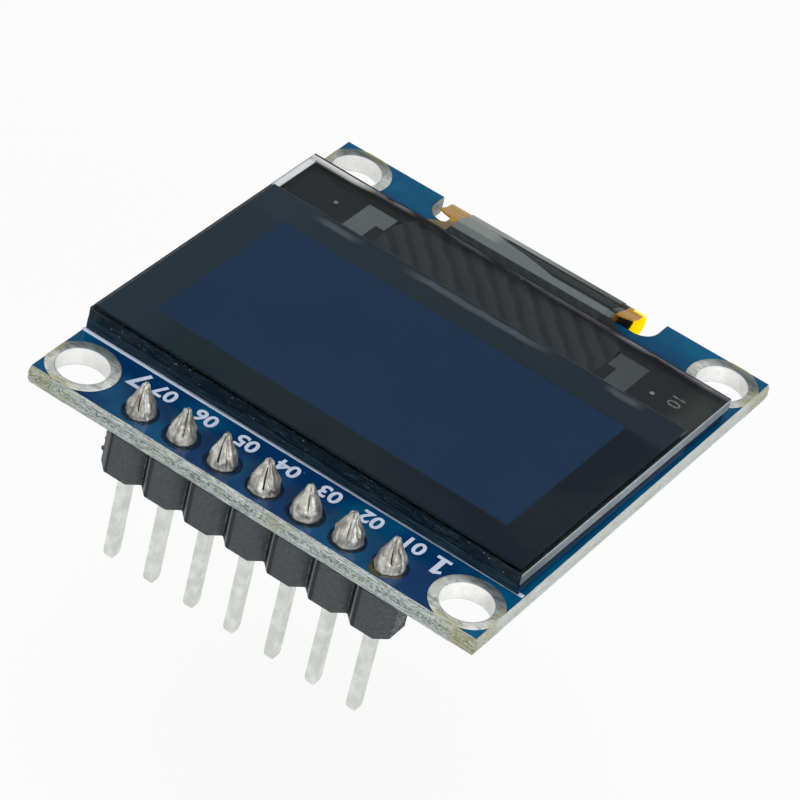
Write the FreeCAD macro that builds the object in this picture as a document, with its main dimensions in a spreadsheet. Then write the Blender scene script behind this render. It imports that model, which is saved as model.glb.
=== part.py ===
import FreeCAD, Part
import math
import os
import re
import Sketcher

# A small display module: a blue circuit board with a glass display taped to its
# front, a flex circuit that folds through a notch to the back, and a pin header.
# X runs along the pin row towards pin 7, Y towards the header edge, Z out of the
# display. The origin is the centre of the four mounting holes, on the back face.

sizes = {
    # Board: overall outline at the web that is left between the scored grooves.
    "board_width": 27.3,
    "board_length": 28.0,
    "board_thickness": 1.07,
    "land_rise": 0.035,
    "score_inset": 0.1,
    "score_depth": 0.375,
    "hole_from_side": 1.9,
    "hole_from_end": 1.95,
    "mounting_hole": 2.75,
    "mounting_land": 3.9,
    "plating": 0.035,
    "notch_width": 14.4,
    "notch_depth": 2.0,
    "notch_corner": 1.0,
    # Pin header, soldered from the front.
    "pin_count": 7,
    "pin_spacing": 2.54,
    "header_edge": 1.3,
    "header_hole": 1.02,
    "housing_height": 2.54,
    "housing_depth": 2.54,
    "housing_chamfer": 0.59,
    "pin_width": 0.64,
    "pin_below_housing": 5.95,
    "pin_above_board": 1.1,
    "pin_point": 0.18,
    # Solder joints: a round foot, a waist, a bulb and a drawn-out tip.
    "joint_foot": 0.9,
    "joint_waist": 0.62,
    "joint_waist_height": 0.28,
    "joint_bulb": 0.7,
    "joint_bulb_height": 0.8,
    "joint_height": 1.85,
    # Display panel, taped down slightly askew.
    "panel_from_side": 0.3,
    "panel_from_header_end": 4.24,
    "panel_from_flex_end": 4.28,
    "panel_turn": -0.6,
    "tape_thickness": 0.15,
    "tape_margin": 0.6,
    "pad_margin": 0.15,
    "ledge_length": 4.18,
    "cap_thickness": 0.55,
    "recess_depth": 0.26,
    "recess_margin": 1.3,
    "desiccant_margin": 1.6,
    "desiccant_thickness": 0.15,
    "seal_thickness": 0.03,
    "seal_setback": 0.1,
    "glass_thickness": 0.7,
    "polariser_thickness": 0.2,
    "polariser_margin": 0.22,
    "polariser_from_far_edge": 4.11,
    "active_from_side": 2.478,
    "active_from_near_edge": 2.2,
    "active_from_far_edge": 6.416,
    "emitter_thickness": 0.015,
    # What sits under the ledge of the front glass.
    "chip_length": 6.8,
    "chip_width": 0.9,
    "chip_thickness": 0.3,
    "resin_length": 14.0,
    "resin_thickness": 0.36,
    "resin_gap": 0.12,
    "bond_width": 1.2,
    "bond_thickness": 0.02,
    "bond_setback": 0.1,
    "electrode_thickness": 0.015,
    "electrode_gap": 0.15,
    "electrode_width": 1.28,
    "electrode_foot": 0.55,
    "electrode_reach": 3.1,
    "electrode_foot_width": 1.25,
    # Flex circuit: bonded under the ledge, folded round to the back of the board.
    "flex_thickness": 0.1,
    "flex_offset": 0.2,
    "flex_bond_width": 12.2,
    "flex_neck_width": 10.6,
    "flex_bend_width": 12.4,
    "flex_tail_width": 19.4,
    "flex_overhang": 1.93,
    "flex_crest_radius": 1.8,
    "flex_crest_turn": 25,
    "flex_slope": 0.3,
    "flex_dip_radius": 0.9,
    "flex_dip_turn": 16,
    "flex_shoulder": 0.42,
    "flex_neck_start": 1.05,
    "flex_neck_chamfer": 0.5,
    "flex_neck_end": 3.3,
    "flex_neck_flare": 0.35,
    "tail_neck": 1.6,
    "tail_shoulder": 1.9,
    "tail_length": 3.1,
    "coverlay_thickness": 0.04,
    "coverlay_width": 9.8,
    "coverlay_setback": 0.15,
    "coverlay_tail": 0.9,
    "contact_count": 30,
    "contact_spacing": 0.62,
    "contact_width": 0.32,
    "contact_overlap": 1.25,
    "contact_reach": 0.6,
    "contact_thickness": 0.06,
    "contact_step": 0.1,
    # Chip parts on the back.
    "first_row_from_flex_end": 11.0,
    "third_row_from_header": 5.9,
    "first_row_from_side": 4.45,
    "second_row_start": 1.6,
    "chip_spacing": 2.5,
    "first_row_capacitors": 6,
    "first_row_resistors": 2,
    "second_row_resistors": 4,
    "part_length": 1.6,
    "part_width": 0.8,
    "capacitor_height": 0.8,
    "resistor_height": 0.45,
    "terminal_length": 0.3,
    "terminal_wrap": 0.02,
    "solder_under": 0.03,
    "fillet_reach": 0.32,
    "fillet_climb": 0.55,
    "regulator_from_side": 5.45,
    "regulator_length": 2.9,
    "regulator_width": 1.3,
    "regulator_height": 1.0,
    "regulator_lead_spacing": 1.9,
    "diode_from_side": 4.65,
    "diode_length": 1.7,
    "diode_width": 1.25,
    "diode_height": 0.9,
    "standoff": 0.1,
    "mould_draft": 7,
    "lead_width": 0.42,
    "lead_thickness": 0.13,
    "lead_foot": 0.4,
    "lead_span": 0.55,
}

doc = FreeCAD.newDocument("display_module")
sheet = doc.addObject("Spreadsheet::Sheet", "Sizes")
for row, (name, number) in enumerate(sizes.items(), 1):
    sheet.set("A%d" % row, name)
    sheet.set("B%d" % row, str(number))
    sheet.setAlias("B%d" % row, name)
doc.recompute()

# Below this, in millimetres, two places are the same.
TINY = 1e-4

# Formulas that several pieces share.
back_face = "land_rise"
front_face = "(land_rise + board_thickness)"
face_x = "(board_width / 2 - score_inset)"
face_y = "(board_length / 2 - score_inset)"
header_y = "(board_length / 2 - header_edge)"
notch_y = "(notch_depth - board_length / 2)"
first_pin_x = "(-(pin_count - 1) / 2 * pin_spacing)"
first_row_y = "(first_row_from_flex_end - board_length / 2)"
third_row_y = "(%s - third_row_from_header)" % header_y
second_row_y = "((%s + %s) / 2)" % (first_row_y, third_row_y)
first_chip_x = "(first_row_from_side - board_width / 2)"
regulator_x = "(regulator_from_side - board_width / 2)"
diode_x = "(board_width / 2 - diode_from_side)"
panel_half = "(board_width / 2 - panel_from_side)"
panel_near = "((board_length - panel_from_header_end - panel_from_flex_end) / 2)"
panel_y = "((panel_from_flex_end - panel_from_header_end) / 2)"
cap_far = "(ledge_length - %s)" % panel_near
seal_bottom = "(tape_thickness + cap_thickness)"
glass_bottom = "(tape_thickness + cap_thickness + seal_thickness)"
glass_top = "(tape_thickness + cap_thickness + seal_thickness + glass_thickness)"
ledge_under = "(land_rise + board_thickness + tape_thickness + cap_thickness + seal_thickness)"


def terms(formula):
    """Turn the plain size names in a formula into cells of the sheet."""
    return re.sub(r"[a-z_]+", lambda m: "Sizes." + m.group() if m.group() in sizes else m.group(), formula)


def bind(thing, prop, formula):
    thing.setExpression(prop, terms(formula))


def value(formula):
    """The number that a formula gives, for shapes made directly."""
    cells = {name: repr(float(sheet.get(name))) for name in sizes}
    number = re.sub(r"[a-z_]+", lambda m: cells.get(m.group(), m.group()), formula)
    return FreeCAD.Units.Quantity(number).Value


def place(thing, x="0", y="0", z="0"):
    bind(thing, "Placement.Base.x", x)
    bind(thing, "Placement.Base.y", y)
    bind(thing, "Placement.Base.z", z)


def new_body(name):
    body = doc.addObject("PartDesign::Body", name)
    body.Label = name
    return body


def origin_feature(body, role):
    return [item for item in body.Origin.OriginFeatures if item.Role == role][0]


def new_sketch(body, name, role="XY_Plane", height="0"):
    sketch = body.newObject("Sketcher::SketchObject", name)
    sketch.AttachmentSupport = [(origin_feature(body, role), "")]
    sketch.MapMode = "FlatFace"
    bind(sketch, "AttachmentOffset.Base.z", height)
    return sketch


def hold_point(sketch, curve, end, x, y):
    """Hold one point of a sketch at the place that two formulas give."""
    for kind, formula in (("DistanceX", x), ("DistanceY", y)):
        number = sketch.addConstraint(Sketcher.Constraint(kind, -1, 1, curve, end, value(formula)))
        bind(sketch, "Constraints[%d]" % number, formula)


def polygon(sketch, corners):
    """A closed outline of straight lines through corners given as formulas."""
    spots = [FreeCAD.Vector(value(x), value(y), 0) for x, y in corners]
    lines = []
    for start, end in zip(spots, spots[1:] + spots[:1]):
        lines.append(sketch.addGeometry(Part.LineSegment(start, end), False))
    for line, following in zip(lines, lines[1:] + lines[:1]):
        sketch.addConstraint(Sketcher.Constraint("Coincident", line, 2, following, 1))
    for line, (x, y) in zip(lines, corners):
        hold_point(sketch, line, 1, x, y)


def rectangle(sketch, left, right, low, high):
    polygon(sketch, [(left, low), (right, low), (right, high), (left, high)])


def circle(sketch, x, y, diameter):
    centre = FreeCAD.Vector(value(x), value(y), 0)
    curve = sketch.addGeometry(Part.Circle(centre, FreeCAD.Vector(0, 0, 1), value(diameter) / 2), False)
    hold_point(sketch, curve, 3, x, y)
    number = sketch.addConstraint(Sketcher.Constraint("Diameter", curve, value(diameter)))
    bind(sketch, "Constraints[%d]" % number, diameter)


def pad(body, sketch, length, both_ways=False, downwards=False):
    feature = body.newObject("PartDesign::Pad", sketch.Name + "_pad")
    feature.Profile = sketch
    feature.SideType = "Symmetric" if both_ways else "One side"
    feature.Reversed = downwards
    bind(feature, "Length", length)
    return feature


def cut_through(body, sketch, length="4 * board_length"):
    """Cut a sketch's outline right through, on both sides of its plane."""
    feature = body.newObject("PartDesign::Pocket", sketch.Name + "_cut")
    feature.Profile = sketch
    feature.SideType = "Symmetric"
    bind(feature, "Length", length)
    return feature


def repeat_along_row(body, feature):
    """Repeat a feature once for each pin of the header."""
    pattern = body.newObject("PartDesign::LinearPattern", feature.Name + "_row")
    pattern.Originals = [feature]
    pattern.Direction = (origin_feature(body, "X_Axis"), [""])
    bind(pattern, "Length", "(pin_count - 1) * pin_spacing")
    bind(pattern, "Occurrences", "pin_count")
    body.Tip = pattern
    return pattern


def mounting_hole_places():
    x = "(board_width / 2 - hole_from_side)"
    y = "(board_length / 2 - hole_from_end)"
    return [(side + x, end + y) for side in ("-", "") for end in ("-", "")]


def pin_x(number):
    return "(%s + %d * pin_spacing)" % (first_pin_x, number)


def cut_notch(body):
    """The open notch in the far edge that lets the flex round to the back."""
    sketch = new_sketch(body, "notch")
    rectangle(sketch, "-notch_width / 2", "notch_width / 2", "-board_length", notch_y)
    opening = cut_through(body, sketch)
    doc.recompute()
    inner_corners = []
    for number, edge in enumerate(opening.Shape.Edges):
        box = edge.BoundBox
        upright = box.XLength < TINY and box.YLength < TINY
        at_side = abs(abs(box.Center.x) - value("notch_width / 2")) < TINY
        if upright and at_side and abs(box.Center.y - value(notch_y)) < TINY:
            inner_corners.append("Edge%d" % (number + 1))
    rounding = body.newObject("PartDesign::Fillet", "notch_corners")
    rounding.Base = (opening, inner_corners)
    bind(rounding, "Radius", "notch_corner")


def make_board():
    """Glass-epoxy coated blue on both faces. Scoring leaves a ridge round its edges."""
    body = new_body("circuit_board")
    section = new_sketch(body, "board_section", "XZ_Plane")
    ridge_low = back_face + " + score_depth"
    ridge_high = front_face + " - score_depth"
    polygon(section, [
        ("-" + face_x, back_face), (face_x, back_face),
        ("board_width / 2", ridge_low), ("board_width / 2", ridge_high),
        (face_x, front_face), ("-" + face_x, front_face),
        ("-board_width / 2", ridge_high), ("-board_width / 2", ridge_low),
    ])
    pad(body, section, "board_length", both_ways=True)
    grooves = new_sketch(body, "scored_edges", "YZ_Plane")
    for side in ("-", ""):
        for face, ridge in ((back_face, ridge_low), (front_face, ridge_high)):
            edge = side + "board_length / 2"
            polygon(grooves, [(side + face_y, face), (edge, face), (edge, ridge)])
    cut_through(body, grooves, "2 * board_width")
    cut_notch(body)
    holes = new_sketch(body, "mounting_holes")
    for x, y in mounting_hole_places():
        circle(holes, x, y, "mounting_hole + 2 * plating")
    cut_through(body, holes)
    pin_hole = new_sketch(body, "header_hole")
    circle(pin_hole, first_pin_x, header_y, "header_hole")
    repeat_along_row(body, cut_through(body, pin_hole))


def make_lands():
    """Plated barrels in the mounting holes, with a tinned ring on each face."""
    body = new_body("mounting_hole_lands")
    barrels = new_sketch(body, "hole_barrels")
    for x, y in mounting_hole_places():
        circle(barrels, x, y, "mounting_hole")
        circle(barrels, x, y, "mounting_hole + 2 * plating")
    pad(body, barrels, front_face + " + land_rise")
    for side, height in (("back", "0"), ("front", front_face)):
        rings = new_sketch(body, side + "_rings", height=height)
        for x, y in mounting_hole_places():
            circle(rings, x, y, "mounting_hole")
            circle(rings, x, y, "mounting_land")
        pad(body, rings, "land_rise")
    trim = new_sketch(body, "rings_trim")
    rectangle(trim, "-" + face_x, face_x, "-" + face_y, face_y)
    rectangle(trim, "-board_width", "board_width", "-board_length", "board_length")
    cut_through(body, trim)


def make_housing():
    """The header strip: octagonal units joined at their flat sides."""
    body = new_body("header_housing")
    unit = new_sketch(body, "housing_unit", height=back_face)
    left = first_pin_x + " - pin_spacing / 2"
    right = first_pin_x + " + pin_spacing / 2"
    low = header_y + " - housing_depth / 2"
    high = header_y + " + housing_depth / 2"
    chamfer = "housing_chamfer"
    polygon(unit, [
        (left + " + " + chamfer, low), (right + " - " + chamfer, low),
        (right, low + " + " + chamfer), (right, high + " - " + chamfer),
        (right + " - " + chamfer, high), (left + " + " + chamfer, high),
        (left, high + " - " + chamfer), (left, low + " + " + chamfer),
    ])
    block = pad(body, unit, "housing_height", downwards=True)
    repeat_along_row(body, block)
    socket = new_sketch(body, "housing_pin_hole")
    rectangle(
        socket,
        first_pin_x + " - pin_width / 2", first_pin_x + " + pin_width / 2",
        header_y + " - pin_width / 2", header_y + " + pin_width / 2",
    )
    repeat_along_row(body, cut_through(body, socket, "4 * housing_height"))


def make_pin(number):
    """One square pin with pointed ends."""
    name = "header_pin_%d" % (number + 1)
    body = new_body(name)
    bottom = back_face + " - housing_height - pin_below_housing"
    section = new_sketch(body, name + "_section", height=bottom)
    rectangle(section, "-pin_width / 2", "pin_width / 2", "-pin_width / 2", "pin_width / 2")
    shaft = pad(body, section, "housing_height + pin_below_housing + board_thickness + pin_above_board")
    doc.recompute()
    ends = []
    for index, edge in enumerate(shaft.Shape.Edges):
        if edge.BoundBox.ZLength < TINY:
            ends.append("Edge%d" % (index + 1))
    point = body.newObject("PartDesign::Chamfer", name + "_points")
    point.Base = (shaft, ends)
    bind(point, "Size", "pin_point")
    place(body, pin_x(number), header_y)


def make_joint(number):
    """Solder drawn up round one pin end: a foot, a waist, a bulb and a drawn-out tip."""
    name = "solder_joint_%d" % (number + 1)
    body = new_body(name)
    profile = new_sketch(body, name + "_profile", "XZ_Plane")
    polygon(profile, [
        ("0", front_face), ("joint_foot", front_face),
        ("joint_waist", front_face + " + joint_waist_height"),
        ("joint_bulb", front_face + " + joint_bulb_height"),
        ("0", front_face + " + joint_height"),
    ])
    turned = body.newObject("PartDesign::Revolution", name + "_bulb")
    turned.Profile = profile
    turned.ReferenceAxis = (profile, ["V_Axis"])
    turned.Angle = 360
    socket = new_sketch(body, name + "_pin_hole", height=front_face + " + pin_above_board")
    rectangle(socket, "-pin_width / 2", "pin_width / 2", "-pin_width / 2", "pin_width / 2")
    hole = body.newObject("PartDesign::Pocket", name + "_pin_hole_cut")
    hole.Profile = socket
    bind(hole, "Length", "2 * pin_above_board")
    place(body, pin_x(number), header_y)


def panel_body(name):
    """A layer of the display, in the display's own slightly turned place."""
    body = new_body(name)
    place(body, "0", panel_y, front_face)
    body.Placement.Rotation = FreeCAD.Rotation(FreeCAD.Vector(0, 0, 1), value("panel_turn"))
    bind(body, "Placement.Rotation.Angle", "panel_turn")
    return body


def panel_slab(name, left, right, low, high, bottom, thickness):
    body = panel_body(name)
    outline = new_sketch(body, name + "_outline", height=bottom)
    rectangle(outline, left, right, low, high)
    pad(body, outline, thickness)
    return body


def make_panel():
    """The display's layers, from the tape on the board up to the polariser."""
    half = panel_half
    inner = "(%s - recess_margin)" % half
    near = "(%s - recess_margin)" % panel_near
    far = "(%s + recess_margin)" % cap_far
    panel_slab(
        "display_tape", "-%s + tape_margin" % half, "%s - tape_margin" % half,
        cap_far + " + tape_margin", panel_near + " - tape_margin", "0", "tape_thickness",
    )
    panel_slab(
        "ledge_pad", "-%s + pad_margin" % half, "%s - pad_margin" % half,
        "pad_margin - " + panel_near, cap_far + " - resin_gap", "0", glass_bottom + " - resin_thickness",
    )
    cap = panel_slab("cap_glass", "-" + half, half, cap_far, panel_near, "tape_thickness", "cap_thickness")
    recess = new_sketch(cap, "cap_recess", height=seal_bottom)
    rectangle(recess, "-" + inner, inner, far, near)
    hollow = cap.newObject("PartDesign::Pocket", "cap_recess_cut")
    hollow.Profile = recess
    bind(hollow, "Length", "recess_depth")
    panel_slab(
        "desiccant_sheet", "-%s + desiccant_margin" % inner, "%s - desiccant_margin" % inner,
        far + " + desiccant_margin", near + " - desiccant_margin",
        seal_bottom + " - recess_depth", "desiccant_thickness",
    )
    seal = panel_slab(
        "glass_seal", "-%s + seal_setback" % half, "%s - seal_setback" % half,
        cap_far + " + seal_setback", panel_near + " - seal_setback", seal_bottom, "seal_thickness",
    )
    window = new_sketch(seal, "seal_window", height=seal_bottom)
    rectangle(window, "-" + inner, inner, far, near)
    cut_through(seal, window)
    panel_slab(
        "emitter_layers", "active_from_side - " + half, half + " - active_from_side",
        "active_from_far_edge - " + panel_near, panel_near + " - active_from_near_edge",
        glass_bottom + " - emitter_thickness", "emitter_thickness",
    )
    panel_slab("front_glass", "-" + half, half, "-" + panel_near, panel_near, glass_bottom, "glass_thickness")
    panel_slab(
        "polariser", "-%s + polariser_margin" % half, "%s - polariser_margin" % half,
        "polariser_from_far_edge - " + panel_near, panel_near + " - polariser_margin",
        glass_top, "polariser_thickness",
    )


def make_ledge_parts():
    """Driver chip, resin and metal film on the underside of the ledge."""
    resin_far = "(bond_width + resin_gap - %s)" % panel_near
    resin_near = "(%s - resin_gap)" % cap_far
    middle = "((%s + %s) / 2)" % (resin_far, resin_near)
    panel_slab(
        "driver_chip", "-chip_length / 2", "chip_length / 2",
        middle + " - chip_width / 2", middle + " + chip_width / 2",
        glass_bottom + " - chip_thickness", "chip_thickness",
    )
    resin = panel_slab(
        "chip_resin", "-resin_length / 2", "resin_length / 2", resin_far, resin_near,
        glass_bottom + " - resin_thickness", "resin_thickness",
    )
    bed = new_sketch(resin, "chip_bed", height=glass_bottom)
    rectangle(
        bed, "-chip_length / 2", "chip_length / 2",
        middle + " - chip_width / 2", middle + " + chip_width / 2",
    )
    hollow = resin.newObject("PartDesign::Pocket", "chip_bed_cut")
    hollow.Profile = bed
    bind(hollow, "Length", "chip_thickness")
    film = panel_body("electrode_pads")
    shapes = new_sketch(film, "electrode_outlines", height=glass_bottom + " - electrode_thickness")
    near = "(%s - resin_gap)" % cap_far
    far = "(%s - electrode_reach)" % near
    for side in ("-", ""):
        foot_x = side + "(resin_length / 2 + electrode_gap)"
        inner_x = side + "(resin_length / 2 + electrode_gap + electrode_foot)"
        outer_x = side + "(resin_length / 2 + electrode_gap + electrode_foot + electrode_width)"
        foot_y = far + " + electrode_foot_width"
        polygon(shapes, [
            (inner_x, near), (outer_x, near), (outer_x, far),
            (foot_x, far), (foot_x, foot_y), (inner_x, foot_y),
        ])
    pad(film, shapes, "electrode_thickness")


def walk(start, steps, offset):
    """Follow straight runs and turns, and return that path moved sideways by an offset."""
    edges = []
    spot = FreeCAD.Vector(0, start[0], start[1])
    heading = 0.0
    for kind, amount, radius in steps:
        ahead = FreeCAD.Vector(0, -math.cos(heading), -math.sin(heading))
        inward = FreeCAD.Vector(0, math.sin(heading), -math.cos(heading))
        if kind == "run":
            end = spot + ahead * amount
            edges.append(Part.LineSegment(spot + inward * offset, end + inward * offset).toShape())
            spot = end
            continue
        turn = math.radians(amount)
        side = 1 if turn > 0 else -1
        centre = spot + inward * (radius * side)
        points = []
        for share in (0, 0.5, 1):
            angle = heading + turn * share
            outward = FreeCAD.Vector(0, -math.sin(angle), math.cos(angle)) * side
            points.append(centre + outward * (radius - offset * side))
            end = centre + outward * radius
        edges.append(Part.Arc(*points).toShape())
        heading += turn
        spot = end
    return edges


def bent_sheet(start, steps, outside, inside, width):
    """A sheet of even thickness along a path, centred on the flex's middle line."""
    upper = Part.Wire(walk(start, steps, outside))
    lower = Part.Wire(walk(start, steps, inside))
    first = Part.LineSegment(upper.OrderedVertexes[0].Point, lower.OrderedVertexes[0].Point).toShape()
    last = Part.LineSegment(upper.OrderedVertexes[-1].Point, lower.OrderedVertexes[-1].Point).toShape()
    section = Part.Face(Part.Wire(Part.__sortEdges__(upper.Edges + lower.Edges + [first, last])))
    section.translate(FreeCAD.Vector(value("flex_offset") - width / 2, 0, 0))
    return section.extrude(FreeCAD.Vector(width, 0, 0))


def prism(corners, low, high):
    """An upright prism over an outline that is mirrored about the flex's middle line."""
    middle = value("flex_offset")
    right = [FreeCAD.Vector(middle + x, y, low) for x, y in corners]
    left = [FreeCAD.Vector(middle - x, y, low) for x, y in reversed(corners)]
    outline = Part.makePolygon(right + left + [right[0]])
    return Part.Face(outline).extrude(FreeCAD.Vector(0, 0, high - low))


def flex_outline():
    """Where the flex may be: one outline above the fold's middle and one below."""
    glass_edge = value(panel_y) - value(panel_near)
    bond = value("flex_bond_width") / 2
    neck = value("flex_neck_width") / 2
    bend = value("flex_bend_width") / 2
    tail = value("flex_tail_width") / 2
    inside = glass_edge + 2 * value("bond_width")
    neck_start = glass_edge - value("flex_neck_start")
    neck_full = neck_start - value("flex_neck_chamfer")
    neck_end = glass_edge - value("flex_neck_end")
    bend_start = neck_end - value("flex_neck_flare")
    beyond = -value("board_length")
    middle = value(front_face) / 2
    upper = prism([
        (bond, inside), (bond, neck_start), (neck, neck_full), (neck, neck_end),
        (bend, bend_start), (bend, beyond),
    ], middle, 3 * value(front_face))
    tail_start = value(notch_y) + value("tail_neck") - value("flex_shoulder")
    tail_full = tail_start + value("tail_shoulder")
    lower = prism([
        (tail, 0), (tail, tail_full), (bend, tail_start), (bend, beyond),
    ], -value(front_face), middle)
    return upper.fuse(lower)


def flex_path(begin, finish):
    """The flex's outer face: flat off the ledge, over a crest, round, and back."""
    drop = value(ledge_under) - value("bond_thickness") - value(back_face) + value("flex_thickness")
    crest = math.radians(value("flex_crest_turn"))
    dip = math.radians(value("flex_crest_turn") - value("flex_dip_turn"))
    used = value("flex_crest_radius") * (1 - math.cos(crest))
    used += value("flex_slope") * math.sin(crest)
    used += value("flex_dip_radius") * (math.cos(dip) - math.cos(crest))
    used += value("flex_slope") * math.sin(dip)
    fold = (drop - used) / (1 + math.cos(dip))
    return [
        ("run", begin, 0),
        ("turn", value("flex_crest_turn"), value("flex_crest_radius")),
        ("run", value("flex_slope"), 0),
        ("turn", -value("flex_dip_turn"), value("flex_dip_radius")),
        ("run", value("flex_slope"), 0),
        ("turn", 180 - math.degrees(dip), fold),
        ("run", finish, 0),
    ]


def flex_tail_end():
    """Where the fold comes back flat under the board, and where the tail ends."""
    overhang = value("bond_width") + value("flex_overhang")
    start = (value(panel_y) - value(panel_near) + value("bond_width"), 0)
    fold_end = walk(start, flex_path(overhang, TINY), 0)[-1].Vertexes[-1].Point.y
    return fold_end, value(notch_y) + value("tail_neck") + value("tail_shoulder") + value("tail_length")


def add_shape(name, shape):
    thing = doc.addObject("Part::Feature", name)
    thing.Label = name
    thing.Shape = shape


def make_flex():
    """The flex, its coverlay and the film that bonds it to the ledge."""
    glass_edge = value(panel_y) - value(panel_near)
    height = value(ledge_under) - value("bond_thickness")
    overhang = value("flex_overhang")
    fold_end, tail_end = flex_tail_end()
    outline = flex_outline()
    start = (glass_edge + value("bond_width"), height)
    steps = flex_path(value("bond_width") + overhang, tail_end - fold_end)
    sheet_shape = bent_sheet(start, steps, 0, value("flex_thickness"), value("flex_tail_width"))
    add_shape("flex_circuit", sheet_shape.common(outline))
    setback = value("coverlay_setback")
    start = (glass_edge - setback, height)
    steps = flex_path(overhang - setback, value("coverlay_tail"))
    cover = bent_sheet(start, steps, -value("coverlay_thickness"), 0, value("coverlay_width"))
    add_shape("flex_coverlay", cover.common(outline))
    film = doc.addObject("Part::Box", "bonding_film")
    film.Label = "bonding_film"
    bind(film, "Length", "flex_bond_width")
    bind(film, "Width", "bond_width - bond_setback")
    bind(film, "Height", "bond_thickness")
    edge = "%s - %s + bond_setback" % (panel_y, panel_near)
    place(film, "flex_offset - flex_bond_width / 2", edge, ledge_under + " - bond_thickness")


def make_contacts():
    """Thirty solder strips from the flex tail down onto the board."""
    tail_end = flex_tail_end()[1]
    board_level = value(back_face)
    skin = board_level - value("flex_thickness")
    under = skin - value("contact_thickness")
    start = tail_end - value("contact_overlap")
    section = [
        (start, skin), (start, under), (tail_end + value("contact_step"), under),
        (tail_end + value("contact_reach"), board_level), (tail_end, board_level), (tail_end, skin),
    ]
    points = [FreeCAD.Vector(0, y, z) for y, z in section]
    profile = Part.Face(Part.makePolygon(points + points[:1]))
    count = int(value("contact_count"))
    strips = []
    for number in range(count):
        middle = value("flex_offset") + (number - (count - 1) / 2) * value("contact_spacing")
        strip = profile.copy()
        strip.translate(FreeCAD.Vector(middle - value("contact_width") / 2, 0, 0))
        strips.append(strip.extrude(FreeCAD.Vector(value("contact_width"), 0, 0)))
    add_shape("flex_contacts", Part.makeCompound(strips))


def box(name, x, y, top, length, width, height):
    """A block under the board, centred at x and y, hanging from a level."""
    block = doc.addObject("Part::Box", name)
    bind(block, "Length", length)
    bind(block, "Width", width)
    bind(block, "Height", height)
    place(block, "%s - (%s) / 2" % (x, length), "%s - (%s) / 2" % (y, width), "%s - (%s)" % (top, height))
    return block


def fillet_wedge(name, x, y, side, height):
    """The sloping solder at one end of a chip part, deepest at the part."""
    wedge = doc.addObject("Part::Wedge", name)
    near, far = ("Zmin", "Z2min") if side > 0 else ("Z2min", "Zmin")
    wedge.Xmin = 0
    wedge.X2min = 0
    wedge.Ymin = 0
    wedge.Zmax = 0
    wedge.Z2max = 0
    bind(wedge, "Xmax", "part_width")
    bind(wedge, "X2max", "part_width")
    bind(wedge, "Ymax", "fillet_reach")
    bind(wedge, near, "-solder_under - fillet_climb * (%s)" % height)
    bind(wedge, far, "-solder_under")
    shift = "part_length / 2" if side > 0 else "-part_length / 2 - fillet_reach"
    place(wedge, x + " - part_width / 2", "%s + %s" % (y, shift), back_face)
    return wedge


def make_chip_part(kind, number, x, y, terminals, solder):
    """A ceramic block with a metal cap at each end, and its solder."""
    name = "%s_%d" % (kind, number)
    height = kind + "_height"
    wrap = "terminal_wrap"
    body = box(
        name, x, y, "(%s - solder_under - %s)" % (back_face, wrap), "part_width - 2 * " + wrap,
        "part_length - 2 * terminal_length", "%s - 2 * %s" % (height, wrap),
    )
    body.Label = name
    for side, sign in ((1, "+"), (-1, "-")):
        end = "first" if side < 0 else "second"
        middle = "(%s %s (part_length - terminal_length) / 2)" % (y, sign)
        terminals.append(box(
            "%s_%s_cap" % (name, end), x, middle, "(%s - solder_under)" % back_face,
            "part_width", "terminal_length", height,
        ))
        joint = doc.addObject("Part::Fuse", "%s_%s_solder" % (name, end))
        joint.Base = box(
            "%s_%s_bed" % (name, end), x, middle, back_face, "part_width", "terminal_length", "solder_under",
        )
        joint.Tool = fillet_wedge("%s_%s_fillet" % (name, end), x, y, side, height)
        solder.append(joint)


def group(name, members):
    """Separate like solids that share one node."""
    bundle = doc.addObject("Part::Compound", name)
    bundle.Label = name
    bundle.Links = members


def make_chip_parts():
    solder = []
    terminals = {"capacitor": [], "resistor": []}
    spots = []
    row_start = int(value("first_row_capacitors"))
    row_end = row_start + int(value("first_row_resistors"))
    for number in range(row_end):
        kind = "capacitor" if number < row_start else "resistor"
        spots.append((kind, first_chip_x + " + %d * chip_spacing" % number, first_row_y))
    for side in (" - ", " + "):
        spots.append(("capacitor", regulator_x + side + "chip_spacing", second_row_y))
    for number in range(int(value("second_row_resistors"))):
        spots.append(("resistor", "-second_row_start + %d * chip_spacing" % number, second_row_y))
    spots.append(("resistor", "-second_row_start + 2 * chip_spacing", third_row_y))
    counts = {"capacitor": 0, "resistor": 0}
    for kind, x, y in spots:
        counts[kind] += 1
        make_chip_part(kind, counts[kind], "(%s)" % x, y, terminals[kind], solder)
    for kind, members in terminals.items():
        group(kind + "_terminals", members)
    group("component_solder", solder)


def make_lead(name, x, y, width, parting, outward):
    """One gull-wing lead, bent from the moulding's parting line to the board."""
    body = new_body(name)
    section = new_sketch(body, name + "_section", "YZ_Plane")
    side = "%s / 2" % width
    bend = side + " + lead_span / 2"
    shin = bend + " + lead_thickness"
    toe = bend + " + lead_foot"
    line = "-%s" % parting
    polygon(section, [
        (side, line + " + lead_thickness"), (bend, line + " + lead_thickness"), (bend, "0"), (toe, "0"),
        (toe, "-lead_thickness"), (shin, "-lead_thickness"), (shin, line), (side, line),
    ])
    pad(body, section, "lead_width", both_ways=True)
    if outward < 0:
        body.Placement.Rotation = FreeCAD.Rotation(FreeCAD.Vector(0, 0, 1), 180)
    place(body, x, y, back_face)
    return body


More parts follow.
